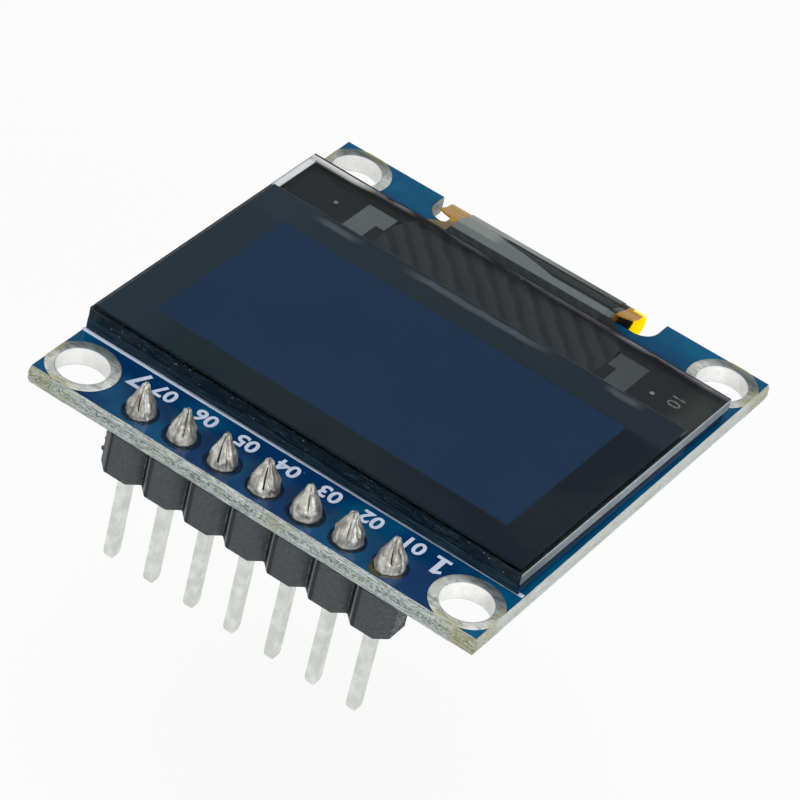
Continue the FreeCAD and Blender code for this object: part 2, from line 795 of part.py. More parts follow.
def make_moulded_part(kind, x, y, lead_offsets):
    """A small moulded package, widest at its parting line, on bent leads."""
    body = new_body(kind + "_body")
    length = "%s_length / 2" % kind
    width = "%s_width / 2" % kind
    parting = "((%s_height + standoff) / 2)" % kind
    for half, away in (("outer", True), ("inner", False)):
        outline = new_sketch(body, "%s_%s_outline" % (kind, half), height="-" + parting)
        rectangle(outline, "-" + length, length, "-" + width, width)
        block = pad(body, outline, "(%s_height - standoff) / 2" % kind, downwards=away)
        bind(block, "TaperAngle", "-mould_draft")
    place(body, x, y, back_face)
    leads = []
    for number, (offset, outward) in enumerate(lead_offsets):
        lead = "%s_lead_%d" % (kind, number + 1)
        leads.append(make_lead(lead, "%s + %s" % (x, offset), y, "%s_width" % kind, parting, outward))
    group(kind + "_leads", leads)


make_board()
make_lands()
make_housing()
for pin_number in range(int(value("pin_count"))):
    make_pin(pin_number)
    make_joint(pin_number)
make_panel()
make_ledge_parts()
make_flex()
make_contacts()
make_chip_parts()
make_moulded_part(
    "regulator", regulator_x, second_row_y,
    [("-regulator_lead_spacing / 2", 1), ("regulator_lead_spacing / 2", 1), ("0", -1)],
)
make_moulded_part("diode", diode_x, third_row_y, [("0", 1), ("0", -1)])
doc.recompute()

# Check every object, then write each piece that isn't part of another.
for item in doc.Objects:
    if "Invalid" in item.State or "Error" in item.State:
        raise RuntimeError("%s failed: %s" % (item.Name, item.State))


def is_piece(item):
    if item.TypeId == "PartDesign::Body" or item.TypeId.startswith("Part::"):
        return not any(parent.TypeId.startswith("Part::") for parent in item.InList)
    return False


os.makedirs("parts", exist_ok=True)
for item in [piece for piece in doc.Objects if is_piece(piece)]:
    if item.Shape.isNull() or not item.Shape.isValid():
        raise RuntimeError("%s has a bad shape" % item.Label)
    item.Shape.exportStep("parts/%s.step" % item.Label)
    print(item.Label, len(item.Shape.Solids), round(item.Shape.Volume, 5))
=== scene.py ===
import bmesh
import bpy
import math
import random
from mathutils import Matrix, Vector, geometry, noise


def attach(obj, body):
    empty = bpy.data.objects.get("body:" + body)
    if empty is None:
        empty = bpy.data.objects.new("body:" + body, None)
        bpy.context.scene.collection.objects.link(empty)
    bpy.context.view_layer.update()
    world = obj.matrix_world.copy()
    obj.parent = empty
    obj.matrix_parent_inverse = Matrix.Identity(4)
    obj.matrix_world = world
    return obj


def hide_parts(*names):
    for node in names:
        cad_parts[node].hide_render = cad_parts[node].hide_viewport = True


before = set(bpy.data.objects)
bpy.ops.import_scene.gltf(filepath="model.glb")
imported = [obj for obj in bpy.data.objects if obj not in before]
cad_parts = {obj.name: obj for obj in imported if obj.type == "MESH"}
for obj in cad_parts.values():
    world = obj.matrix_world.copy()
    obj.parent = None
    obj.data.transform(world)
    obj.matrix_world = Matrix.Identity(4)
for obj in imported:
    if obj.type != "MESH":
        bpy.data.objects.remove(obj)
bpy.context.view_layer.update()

# Circuit board: glass-epoxy laminate coated with glossy blue resist on both
# faces. Its four edges were scored and snapped, so they show bare, fibrous
# laminate: a sloping strip at each face and a torn ridge between them.
MM = 0.001
BOARD_BACK = 0.035
BOARD_FRONT = 1.105
BOARD_X = 13.65
BOARD_Y = 14.0
SCORE_INSET = 0.1
SCORE_DEPTH = 0.375
EDGE_STEP = 0.13
NOTCH_WIDTH = 14.4
NOTCH_DEPTH = 2.0
NOTCH_CORNER = 1.0
HOLE_X = 11.75
HOLE_Y = 12.05
MOUNTING_HOLE = 2.75
PLATING = 0.035
PIN_COUNT = 7
PIN_SPACING = 2.54
HEADER_Y = 12.7
HEADER_HOLE = 1.02
FIRST_PIN_X = -(PIN_COUNT - 1) / 2 * PIN_SPACING


def tint(red, green, blue):
    """A colour given as it looks on screen, 0 to 255, as the renderer wants it."""
    linear = []
    for level in (red, green, blue):
        share = level / 255
        linear.append(share / 12.92 if share <= 0.04045 else ((share + 0.055) / 1.055) ** 2.4)
    return (*linear, 1.0)


class Value:
    """One output in a material. Arithmetic on it adds Math nodes."""

    def __init__(self, finish, socket):
        self.finish = finish
        self.socket = socket

    def __add__(self, other):
        return self.finish.math("ADD", self, other)

    __radd__ = __add__

    def __sub__(self, other):
        return self.finish.math("SUBTRACT", self, other)

    def __rsub__(self, other):
        return self.finish.math("SUBTRACT", other, self)

    def __mul__(self, other):
        return self.finish.math("MULTIPLY", self, other)

    __rmul__ = __mul__

    def __pow__(self, other):
        return self.finish.math("POWER", self, other)

    def size(self):
        return self.finish.math("ABSOLUTE", self)

    def rise(self, low, high):
        """0 below low, 1 above high, smooth between."""
        settings = {"interpolation_type": "SMOOTHSTEP"}
        limits = {"Value": self, "From Min": low, "From Max": high}
        return self.finish.node("ShaderNodeMapRange", settings, limits)

    def fall(self, low, high):
        return 1.0 - self.rise(low, high)

    def between(self, low, high, soft):
        return self.rise(low - soft, low + soft) * self.fall(high - soft, high + soft)


class Finish:
    """A material in the making: its nodes, and the shader that they feed."""

    def __init__(self, name, **constants):
        self.material = bpy.data.materials.new(name)
        self.material.use_nodes = True
        self.tree = self.material.node_tree
        self.shader = self.tree.nodes["Principled BSDF"]
        for socket, number in constants.items():
            self.shader.inputs[socket.replace("_", " ")].default_value = number
        place = self.node("ShaderNodeTexCoord", output="Object")
        settings = {"operation": "SCALE"}
        self.spot = self.node("ShaderNodeVectorMath", settings, {0: place, "Scale": 1 / MM}, "Vector")
        split = self.node("ShaderNodeSeparateXYZ", inputs={0: self.spot}, output=None)
        self.x, self.y, self.z = (Value(self, socket) for socket in split.outputs)

    def node(self, kind, settings=None, inputs=None, output=0):
        """Adds a node. Its settings come first, then the values or links of its sockets."""
        made = self.tree.nodes.new(kind)
        for name, setting in (settings or {}).items():
            setattr(made, name, setting)
        for name, given in (inputs or {}).items():
            if isinstance(given, Value):
                self.tree.links.new(given.socket, made.inputs[name])
            else:
                made.inputs[name].default_value = given
        return made if output is None else Value(self, made.outputs[output])

    def math(self, operation, first, second=0.0):
        return self.node("ShaderNodeMath", {"operation": operation}, {0: first, 1: second})

    def largest(self, first, second):
        return self.math("MAXIMUM", first, second)

    def grain(self, scale, detail=3.0, roughness=0.6, stretch=(1, 1, 1)):
        """Noise with features of about 1 / scale millimetres, longer where stretch is small."""
        spot = self.node("ShaderNodeMapping", None, {0: self.spot, "Scale": stretch})
        sizes = {"Vector": spot, "Scale": scale, "Detail": detail, "Roughness": roughness}
        return self.node("ShaderNodeTexNoise", None, sizes)

    def specks(self, scale, radius):
        """1 on small scattered spots, 0 elsewhere."""
        cells = self.node("ShaderNodeTexVoronoi", None, {"Vector": self.spot, "Scale": scale}, "Distance")
        return cells.fall(radius * 0.5, radius)

    def blend(self, share, first, second):
        """A colour that goes from first to second as share goes from 0 to 1."""
        return self.node("ShaderNodeMix", {"data_type": "RGBA"}, {0: share, 6: first, 7: second}, 2)

    def bump(self, height, depth):
        """Height, 0 to 1, stands for that many millimetres."""
        sizes = {"Height": height, "Distance": depth * MM, "Strength": 1.0}
        return self.node("ShaderNodeBump", None, sizes)

    def feed(self, **wires):
        for socket, given in wires.items():
            self.tree.links.new(given.socket, self.shader.inputs[socket.replace("_", " ")])
        return self.material


def paint(nodes, material):
    """Gives CAD nodes their finish."""
    for name in nodes:
        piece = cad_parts[name]
        piece.data.materials.clear()
        piece.data.materials.append(material)


def put(name, data):
    """A new object, put in the scene."""
    made = bpy.data.objects.new(name, data)
    bpy.context.scene.collection.objects.link(made)
    return made


def solid(name, corners, faces, smooth=False):
    """A mesh object from points in millimetres."""
    mesh = bpy.data.meshes.new(name)
    mesh.from_pydata([[length * MM for length in corner] for corner in corners], [], faces)
    mesh.update()
    made = put(name, mesh)
    shape = bmesh.new()
    shape.from_mesh(mesh)
    bmesh.ops.recalc_face_normals(shape, faces=shape.faces)
    shape.to_mesh(mesh)
    shape.free()
    for face in mesh.polygons:
        face.use_smooth = smooth
    return made


def settle(piece, material, slot, *nodes):
    """Gives a finished piece its material and its place in the frame."""
    piece.data.materials.clear()
    piece.data.materials.append(material)
    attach(piece, "root")
    if nodes:
        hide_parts(*nodes)
    return piece


def ring_faces(rings, count, closed=False):
    """Faces between rings of count points. Closed joins the last ring to the first."""
    faces = []
    for ring in range(rings if closed else rings - 1):
        below, above = ring * count, (ring + 1) % rings * count
        for here in range(count):
            there = (here + 1) % count
            faces.append((below + here, below + there, above + there, above + here))
    return faces


def hole_ring(x, y, diameter, steps=72):
    """Points round a hole, anticlockwise."""
    turns = [2 * math.pi * step / steps for step in range(steps)]
    return [(x + diameter / 2 * math.cos(turn), y + diameter / 2 * math.sin(turn)) for turn in turns]


def board_outline():
    """Points round the board, each with the way in which scoring sets it back."""
    left, right, far, near = -BOARD_X, BOARD_X, -BOARD_Y, BOARD_Y
    side, inner, corner = NOTCH_WIDTH / 2, NOTCH_DEPTH - BOARD_Y, NOTCH_CORNER
    runs = [
        ((-side, far), (left, far), (0, 1)), ((left, far), (left, near), (1, 0)),
        ((left, near), (right, near), (0, -1)), ((right, near), (right, far), (-1, 0)),
        ((right, far), (side, far), (0, 1)),
    ]
    points = []
    for start, end, way in runs:
        reach = math.dist(start, end)
        steps = round(reach / EDGE_STEP)
        if points:
            points[-1] = (points[-1][0], (points[-1][1][0] + way[0], points[-1][1][1] + way[1]))
        else:
            points.append((start, way))
        for step in range(1, steps + 1):
            share = step / steps
            if 0.12 < share * reach < reach - 0.12 or step == steps:
                spot = (start[0] + (end[0] - start[0]) * share, start[1] + (end[1] - start[1]) * share)
                points.append((spot, way))
    for turn in range(0, 91, 9):
        angle = math.radians(turn)
        spot = (side - corner + corner * math.cos(angle), inner - corner + corner * math.sin(angle))
        points.append((spot, (0, 0)))
    for turn in range(90, 181, 9):
        angle = math.radians(turn)
        spot = (corner - side + corner * math.cos(angle), inner - corner + corner * math.sin(angle))
        points.append((spot, (0, 0)))
    return points


def board_mesh():
    """Faces pierced by the holes, and edges torn into layers of glass cloth."""
    middle = (BOARD_BACK + BOARD_FRONT) / 2
    ridge = (BOARD_FRONT - BOARD_BACK) / 2 - SCORE_DEPTH
    slopes = (0.0, 0.2, 0.4, 0.6, 0.8)
    torn = (-0.95, -0.6, -0.3, 0.0, 0.3, 0.6, 0.95)
    lower = [(BOARD_BACK + SCORE_DEPTH * share, SCORE_INSET * (1 - share), 0.006) for share in slopes]
    upper = [(BOARD_FRONT - SCORE_DEPTH * share, SCORE_INSET * (1 - share), 0.006) for share in slopes]
    levels = lower + [(middle + ridge * share, 0.0, 0.05) for share in torn] + upper[::-1]
    outline = board_outline()
    rings = []
    for height, inset, rough in levels:
        ring = []
        for (x, y), (across, along_way) in outline:
            depth = inset
            if across or along_way:
                tear = noise.noise(Vector((x * 1.1, y * 1.1, height * 7)))
                fray = noise.noise(Vector((x * 5.0, y * 5.0, height * 16)))
                depth += rough * min(1.0, max(0.0, 0.45 + 0.9 * tear + 0.6 * fray))
            ring.append((x + across * depth, y + along_way * depth))
        rings.append(ring)
    holes = [
        hole_ring(x, y, MOUNTING_HOLE + 2 * PLATING)
        for x in (-HOLE_X, HOLE_X) for y in (-HOLE_Y, HOLE_Y)
    ]
    holes += [
        hole_ring(FIRST_PIN_X + number * PIN_SPACING, HEADER_Y, HEADER_HOLE, 24)
        for number in range(PIN_COUNT)
    ]
    corners = [(x, y, height) for ring, (height, _, _) in zip(rings, levels) for x, y in ring]
    count = len(outline)
    faces = ring_faces(len(levels), count)
    walls = []
    for hole in holes:
        start = len(corners)
        corners += [(x, y, BOARD_BACK) for x, y in hole] + [(x, y, BOARD_FRONT) for x, y in hole]
        around = len(hole)
        for here in range(around):
            there = (here + 1) % around
            faces.append((start + here, start + around + here, start + around + there, start + there))
        walls.append((start, around))
    for top in (False, True):
        base = (len(levels) - 1) * count if top else 0
        loops = [list(range(base, base + count))]
        loops += [list(range(start + around * top, start + around * (top + 1))) for start, around in walls]
        flat = [index for loop in loops for index in loop]
        spots = [[Vector(corners[index]) for index in loop] for loop in loops]
        triangles = geometry.tessellate_polygon(spots)
        faces += [tuple(flat[number] for number in triangle) for triangle in triangles]
    return solid("laminate_board", corners, faces)


def board_finish():
    f = Finish("blue_resist_on_laminate", Coat_Roughness=0.06)
    top = f.z.rise(BOARD_FRONT - 0.004, BOARD_FRONT - 0.002)
    face = f.largest(top, f.z.fall(BOARD_BACK + 0.002, BOARD_BACK + 0.004))
    # Resist: deeper near the display, paler towards the bare margins and the far edge.
    cloud = f.grain(0.35, 2.0)
    weave = f.grain(9.0, 2.0, 0.5)
    margin = f.largest(f.y.fall(-13.6, -9.5), f.x.size().rise(11.0, 13.6) * 0.7)
    pools = f.grain(0.22, 3.0, 0.6).rise(0.46, 0.62)
    depth = margin * 0.75 + pools * 0.45 + cloud * 0.2 - 0.12
    resist = f.blend(depth, tint(0, 50, 96), tint(0, 94, 134))
    tracks = f.grain(0.9, 1.0, 0.4, (0.4, 1.2, 1.0)).between(0.53, 0.56, 0.012)
    resist = f.blend(tracks * 0.08, resist, tint(0, 72, 118))
    resist = f.blend(f.specks(1.3, 0.07) * f.grain(0.8).rise(0.5, 0.62), resist, tint(110, 160, 180))
    # Bare laminate: layers of glass cloth along each edge, with loose fibres.
    along_x = f.grain(3.0, 5.0, 0.75, (0.35, 6.0, 9.0))
    along_y = f.grain(3.0, 5.0, 0.75, (6.0, 0.35, 9.0))
    on_side = f.x.size().rise(BOARD_X - 0.3, BOARD_X - 0.2) * f.y.size().fall(BOARD_Y - 0.2, BOARD_Y - 0.1)
    fibre = along_x * (1.0 - on_side) + along_y * on_side
    middle = (BOARD_BACK + BOARD_FRONT) / 2
    ridge = f.z.between(middle - 0.16, middle + 0.16, 0.08)
    torn = f.grain(5.0, 4.0, 0.7, (1.0, 1.0, 1.6))
    bare = f.blend(fibre.rise(0.36, 0.58), tint(104, 120, 118), tint(222, 230, 226))
    bare = f.blend(torn.rise(0.52, 0.62) * 0.6, bare, tint(86, 100, 96))
    bare = f.blend(ridge * torn.rise(0.42, 0.6) * 0.75, bare, tint(70, 84, 80))
    # Painted light: every bare edge but the near one is painted paler, as if lit.
    painted_lit_edges = f.y.fall(BOARD_Y - 0.25, BOARD_Y - 0.15)
    bare = f.blend(painted_lit_edges * 0.75, bare, f.blend(torn, tint(204, 212, 206), tint(244, 247, 242)))
    stain = f.grain(0.5, 2.0).rise(0.5, 0.7)
    bare = f.blend(stain * 0.3, bare, tint(176, 172, 128))
    corner = f.x.size().rise(11.5, 12.6) * f.y.size().rise(11.5, 12.6)
    bare = f.blend(corner * torn.rise(0.4, 0.5) * 0.5, bare, tint(156, 150, 70))
    colour = f.blend(face, bare, resist)
    rough = 0.85 - face * 0.67 + (1.0 - face) * (fibre - 0.5) * 0.3
    height = face * (weave * 0.02 + tracks * 0.03) + (1.0 - face) * fibre
    coat = face * 0.22
    return f.feed(Base_Color=colour, Roughness=rough, Coat_Weight=coat, Normal=f.bump(height, 0.12))


settle(board_mesh(), board_finish(), "circuit_board", "circuit_board")


# Mounting lands: tinned copper rings on both faces, joined by a plated barrel
# through each corner hole. The tin is satin, thicker in places and a little dirty.
LAND_SECTION = (
    (0.0, 0.0), (0.0, 0.3), (0.0, 0.7), (0.0, 1.0), (0.012, 1.06), (0.04, 1.1), (0.1, 1.135), (0.25, 1.14),
    (0.42, 1.138), (0.53, 1.13), (0.568, 1.115), (0.575, 1.104),
)


def lands_mesh():
    """Four plated rings, cut off where they would pass the scored edges."""
    middle = (BOARD_BACK + BOARD_FRONT) / 2
    upper = [(reach, height) for reach, height in LAND_SECTION if height > 0.9]
    section = [(reach, 2 * middle - height) for reach, height in reversed(upper)] + upper
    section += [(PLATING, BOARD_FRONT - 0.002), (PLATING, BOARD_BACK + 0.002)]
    corners = []
    faces = []
    for x in (-HOLE_X, HOLE_X):
        for y in (-HOLE_Y, HOLE_Y):
            start = len(corners)
            around = 96
            for step in range(around):
                turn = 2 * math.pi * step / around
                spot = Vector((math.cos(turn) * 1.5 + x, math.sin(turn) * 1.5 + y, 2.0))
                swell = 0.012 * noise.noise(spot)
                for reach, height in section:
                    radius = MOUNTING_HOLE / 2 + reach
                    limit_x = BOARD_X - SCORE_INSET
                    limit_y = BOARD_Y - SCORE_INSET
                    side_x = max(-limit_x, min(limit_x, x + radius * math.cos(turn)))
                    side_y = max(-limit_y, min(limit_y, y + radius * math.sin(turn)))
                    lift = swell if abs(height - middle) > 0.56 and 0.05 < reach < 0.55 else 0.0
                    rise = min(1.14, max(0.0, height + math.copysign(lift, height - middle)))
                    corners.append((side_x, side_y, rise))
            deep = len(section)
            for step in range(around):
                there = (step + 1) % around
                for level in range(deep):
                    after = (level + 1) % deep
                    faces.append((
                        start + step * deep + level, start + there * deep + level,
                        start + there * deep + after, start + step * deep + after,
                    ))
    return solid("tinned_hole_lands", corners, faces, smooth=True)


def land_finish():
    f = Finish("tinned_land", Metallic=0.12, Specular_IOR_Level=0.5)
    pool = f.grain(1.1, 3.0, 0.6)
    pits = f.grain(14.0, 4.0, 0.7)
    streaks = f.grain(3.0, 4.0, 0.6, (0.5, 1.5, 1.0))
    colour = f.blend(pool.rise(0.35, 0.7), tint(200, 203, 198), tint(238, 239, 232))
    colour = f.blend(streaks.rise(0.5, 0.64) * 0.6, colour, tint(136, 140, 136))
    rub_and_sheen = f.grain(2.0, 5.0, 0.75, (2.2, 0.6, 1.0)).rise(0.56, 0.64)
    colour = f.blend(rub_and_sheen * 0.5, colour, tint(112, 116, 110))
    colour = f.blend(pits.fall(0.3, 0.4) * 0.5, colour, tint(120, 118, 105))
    # Painted shade: each land is painted dark grey on its side towards the far edge.
    across = f.y + HOLE_Y - f.y.rise(-1.0, 1.0) * (2 * HOLE_Y)
    thin = (across - f.x.size() * 0.3 + HOLE_X * 0.3).fall(-1.7, 0.5) * f.z.rise(1.0, 1.1)
    colour = f.blend(thin * (0.6 + streaks * 0.6), colour, tint(74, 86, 92))
    barrel = f.z.between(0.05, 1.09, 0.03)
    colour = f.blend(barrel * 0.8, colour, tint(250, 250, 248))
    edge = f.largest(f.x.size().rise(13.2, 13.5), f.y.size().rise(13.5, 13.85))
    colour = f.blend(edge * streaks.rise(0.35, 0.5) * 0.6, colour, tint(176, 172, 110))
    rough = 0.3 + pool * 0.18 + pits * 0.1
    return f.feed(Base_Color=colour, Roughness=rough, Normal=f.bump(pool * 0.7 + pits * 0.3, 0.03))


settle(lands_mesh(), land_finish(), "tinned_lands", "mounting_hole_lands")


# Pin header strip: black glass-filled plastic, moulded as a row of eight-sided
# units that snap apart in the notches. The first-pin end was broken off a longer
# strip, so it is rough, and the other end keeps a few burrs.
HOUSING_DEPTH = 2.54
HOUSING_HEIGHT = 2.54
HOUSING_CHAMFER = 0.59
HOUSING_EDGE = 0.06
PIN_WIDTH = 0.64
NOTCH_SEED = 11
TORN_DEPTH = 0.06
CUT_DEPTH = 0.015
BURRS = (
    (13.2, -0.75, 0.09, 0.12), (13.3, -1.05, 0.06, 0.1),
    (13.3, -1.72, 0.14, 0.17), (13.1, -1.85, 0.1, 0.12),
)


def stack(name, rings, smooth=False):
    """A closed skin through rings of points, with a flat face at each end."""
    count = len(rings[0])
    corners = [corner for ring in rings for corner in ring]
    faces = ring_faces(len(rings), count)
    top = (len(rings) - 1) * count
    faces.append(tuple(range(count - 1, -1, -1)))
    faces.append(tuple(range(top, top + count)))
    return solid(name, corners, faces, smooth)


def bevel(piece, width):
    """Rounds the sharp edges of a mesh for good."""
    shape = bmesh.new()
    shape.from_mesh(piece.data)
    sharp = [edge for edge in shape.edges if edge.is_manifold and edge.calc_face_angle() > 0.5]
    bmesh.ops.bevel(
        shape, geom=sharp, offset=width * MM, segments=2, profile=0.5, affect="EDGES", clamp_overlap=True,
    )
    shape.to_mesh(piece.data)
    shape.free()
    return piece


def row_tree():
    """Geometry nodes that repeat one piece along a straight row."""
    tree = bpy.data.node_groups.new("straight_row", "GeometryNodeTree")
    tree.interface.new_socket("Geometry", in_out="OUTPUT", socket_type="NodeSocketGeometry")
    kinds = (
        ("Unit", "NodeSocketObject"), ("Count", "NodeSocketInt"), ("Start", "NodeSocketVector"),
        ("Spacing", "NodeSocketVector"), ("Material", "NodeSocketMaterial"),
    )
    for name, kind in kinds:
        tree.interface.new_socket(name, in_out="INPUT", socket_type=kind)
    given = tree.nodes.new("NodeGroupInput")
    line = tree.nodes.new("GeometryNodeMeshLine")
    line.mode = "OFFSET"
    unit = tree.nodes.new("GeometryNodeObjectInfo")
    copies = tree.nodes.new("GeometryNodeInstanceOnPoints")
    real = tree.nodes.new("GeometryNodeRealizeInstances")
    finish = tree.nodes.new("GeometryNodeSetMaterial")
    result = tree.nodes.new("NodeGroupOutput")
    for source, target in (
        (given.outputs["Count"], line.inputs["Count"]),
        (given.outputs["Start"], line.inputs["Start Location"]),
        (given.outputs["Spacing"], line.inputs["Offset"]),
        (line.outputs["Mesh"], copies.inputs["Points"]),
        (given.outputs["Unit"], unit.inputs["Object"]),
        (unit.outputs["Geometry"], copies.inputs["Instance"]),
        (copies.outputs["Instances"], real.inputs["Geometry"]),
        (real.outputs["Geometry"], finish.inputs["Geometry"]),
        (given.outputs["Material"], finish.inputs["Material"]),
        (finish.outputs["Geometry"], result.inputs["Geometry"]),
    ):
        tree.links.new(source, target)
    return tree


def row(name, unit, count, start, spacing, material):
    """A plain mesh of count copies of unit, the first at start and each a spacing further on."""
    carrier = put(name + "_carrier", bpy.data.meshes.new(name + "_carrier"))
    modifier = carrier.modifiers.new("row", "NODES")
    modifier.node_group = row_tree()
    wanted = {
        "Unit": unit, "Count": count, "Start": Vector(start) * MM,
        "Spacing": Vector(spacing) * MM, "Material": material,
    }
    for item in modifier.node_group.interface.items_tree:
        if item.in_out == "INPUT" and item.name in wanted:
            modifier[item.identifier] = wanted[item.name]
    bpy.context.view_layer.update()
    evaluated = carrier.evaluated_get(bpy.context.evaluated_depsgraph_get())
    mesh = bpy.data.meshes.new_from_object(evaluated)
    mesh.name = name
    made = put(name, mesh)
    bpy.data.objects.remove(carrier)
    bpy.data.objects.remove(unit)
    return made


def housing_unit():
    """One eight-sided unit with its square pin hole left open."""
    half = PIN_SPACING / 2
    deep = HOUSING_DEPTH / 2
    cut = HOUSING_CHAMFER
    outline = [
        (half - cut, -deep), (half, cut - deep), (half, deep - cut), (half - cut, deep),
        (cut - half, deep), (-half, deep - cut), (-half, cut - deep), (cut - half, -deep),
    ]
    levels = (0.0, -HOUSING_HEIGHT)
    return stack("housing_unit", [[(x, y, z) for x, y in outline] for z in levels])


def notch_web(x, chance):
    """The thin broken skin of plastic at the bottom of one notch."""
    rings = []
    for step in range(25):
        height = BOARD_BACK - 0.02 - (HOUSING_HEIGHT - 0.04) * step / 24
        half = 0.05 + 0.02 * noise.noise(Vector((x, height * 3, 0.0))) + chance.uniform(0, 0.012)
        root = HEADER_Y + HOUSING_DEPTH / 2 - HOUSING_CHAMFER - 0.02
        face = root + 0.05 + 0.02 * noise.noise(Vector((x, height * 2, 5.0)))
        section = ((x - half, root), (x + half, root), (x + half, face), (x - half, face))
        rings.append([(side, deep, height) for side, deep in section])
    return stack("notch_web", rings)


def torn_end(side, depth, lumps):
    """The rough skin on one end of the strip. Each lump is a y, a z, a reach and a rise."""
    x = side * PIN_COUNT * PIN_SPACING / 2
    half = HOUSING_DEPTH / 2 - HOUSING_CHAMFER
    across, down = 22, 40
    front = []
    for row_number in range(down + 1):
        line = []
        height = BOARD_BACK - 0.03 - (HOUSING_HEIGHT - 0.06) * row_number / down
        for column in range(across + 1):
            y = HEADER_Y - half + 2 * half * column / across
            rim = min(column, across - column, row_number, down - row_number)
            tear = 0.5 + 0.7 * noise.noise(Vector((y * 2.2, height * 1.3, side * 3.0)))
            tear += 0.45 * noise.noise(Vector((y * 8.0, height * 5.0, side * 7.0)))
            out = depth * max(0.0, tear) * min(1.0, rim / 2)
            for lump_y, lump_z, reach, rise in lumps:
                gap = math.hypot(y - lump_y, height - lump_z) / reach
                out = max(out, rise * math.sqrt(max(0.0, 1 - gap ** 2)))
            line.append((x + side * out, y, height))
        front.append(line)
    rings = []
    for line in front:
        back_side = [(x - side * 0.02, y, height) for _, y, height in reversed(line)]
        rings.append(line + back_side)
    return stack("torn_end", rings)


def housing_finish():
    f = Finish("black_header_plastic", Specular_IOR_Level=0.35)
    moulded = f.grain(5.0, 4.0, 0.65)
    scratches = f.grain(6.0, 2.0, 0.5, (0.3, 0.3, 5.0)).rise(0.66, 0.72)
    dust = f.specks(2.2, 0.06)
    colour = f.blend(moulded.rise(0.3, 0.7), tint(50, 54, 58), tint(64, 68, 73))
    colour = f.blend(scratches * 0.35, colour, tint(120, 122, 125))
    colour = f.blend(dust * 0.5, colour, tint(150, 150, 148))
    # Each notch keeps one flank in deep shade, with a thin pale line where the skin broke.
    along_row = f.math("FRACT", (f.x - FIRST_PIN_X) * (1 / PIN_SPACING) + 0.5)
    before_end = f.x.fall(8.2, 8.3)
    colour = f.blend(along_row.rise(0.665, 0.72) * before_end, colour, tint(12, 13, 14))
    broken = along_row.between(0.8, 0.86, 0.012) * before_end
    colour = f.blend(broken, colour, tint(120, 124, 128))
    rough = 0.42 + moulded * 0.2 + dust * 0.2
    return f.feed(Base_Color=colour, Roughness=rough, Normal=f.bump(moulded + scratches * 0.5, 0.015))


def torn_plastic_finish():
    f = Finish("torn_plastic")
    torn = f.grain(4.0, 5.0, 0.7, (1.0, 1.0, 2.0))
    colour = f.blend(torn.rise(0.4, 0.62), tint(22, 24, 26), tint(108, 112, 114))
    return f.feed(Base_Color=colour, Roughness=0.6 + torn * 0.25, Normal=f.bump(torn, 0.05))


header_plastic = housing_finish()
unit = bevel(housing_unit(), HOUSING_EDGE)
header_housing = row(
    "header_strip", unit, PIN_COUNT,
    (FIRST_PIN_X, HEADER_Y, BOARD_BACK), (PIN_SPACING, 0, 0), header_plastic,
)
settle(header_housing, header_plastic, "header_housing", "header_housing")
torn_plastic = torn_plastic_finish()
chance = random.Random(NOTCH_SEED)
for number in range(PIN_COUNT - 1):
    web = notch_web(FIRST_PIN_X + (number + 0.5) * PIN_SPACING, chance)
    settle(web, torn_plastic, "header_housing")
settle(torn_end(-1, TORN_DEPTH, ()), torn_plastic, "header_housing")
settle(torn_end(1, CUT_DEPTH, BURRS), header_plastic, "header_housing")


# Header pins: square tin-plated brass wire, cut and coined to a rounded point.
# Each is pressed through the strip and soldered where it comes out on top.
PIN_BELOW = 5.95
PIN_ABOVE = 1.1
PIN_LENGTH = HOUSING_HEIGHT + PIN_BELOW + BOARD_FRONT - BOARD_BACK + PIN_ABOVE


def pin_unit():
    """A square pin whose ends draw in over a short length, as a coined tip does."""
    low = -HOUSING_HEIGHT - PIN_BELOW
    half = PIN_WIDTH / 2
    levels = (
        (0.0, 0.34), (0.03, 0.58), (0.1, 0.8), (0.22, 0.93), (0.4, 1.0),
        (PIN_LENGTH - 0.2, 1.0), (PIN_LENGTH, 0.5),
    )
    rings = []
    for rise, share in levels:
        side = half * share
        square = ((-side, -side), (side, -side), (side, side), (-side, side))
        rings.append([(x, y, low + rise) for x, y in square])
    return stack("pin_unit", rings)


def pin_finish():
    f = Finish("tin_plated_pin", Metallic=1.0)
    drawn = f.grain(4.0, 4.0, 0.6, (5.0, 5.0, 0.35))
    smear = f.grain(1.4, 3.0, 0.6)
    colour = f.blend(smear.rise(0.35, 0.7), tint(205, 208, 202), tint(226, 228, 222))
    colour = f.blend(drawn.rise(0.6, 0.75) * 0.4, colour, tint(178, 182, 176))
    rough = 0.3 + drawn * 0.22
    return f.feed(Base_Color=colour, Roughness=rough, Normal=f.bump(drawn, 0.012))


pin_tin = pin_finish()
header_pins = row(
    "header_pins", bevel(pin_unit(), 0.04), PIN_COUNT,
    (FIRST_PIN_X, HEADER_Y, BOARD_BACK), (PIN_SPACING, 0, 0), pin_tin,
)
settle(header_pins, pin_tin, "pin_metal", *["header_pin_%d" % (number + 1) for number in range(PIN_COUNT)])


# Solder joints: tin solder drawn up round each pin end into a pleated bulb with
# a frayed tip. Folds run up the bulb; a few have split open, and their grooves carry painted shade.
JOINT_HEIGHT = 1.845
JOINT_PROFILE = (
    (0.0, 0.78), (0.05, 0.80), (0.16, 0.77), (0.34, 0.745), (0.55, 0.71), (0.76, 0.63), (0.98, 0.52),
    (1.2, 0.40), (1.4, 0.31), (1.58, 0.25), (1.72, 0.22), (1.82, 0.16), (JOINT_HEIGHT, 0.06),
)
JOINT_LIMIT = 0.895
JOINT_PLEATS = 9
JOINT_AROUND = 144
JOINT_UP = 56
JOINT_SEED = 40


def along(table, where):
    """Straight-line reading of a table of (position, value) pairs."""
    for (start, first), (end, second) in zip(table, table[1:]):
        if where <= end:
            return first + (second - first) * (where - start) / (end - start)
    return table[-1][1]


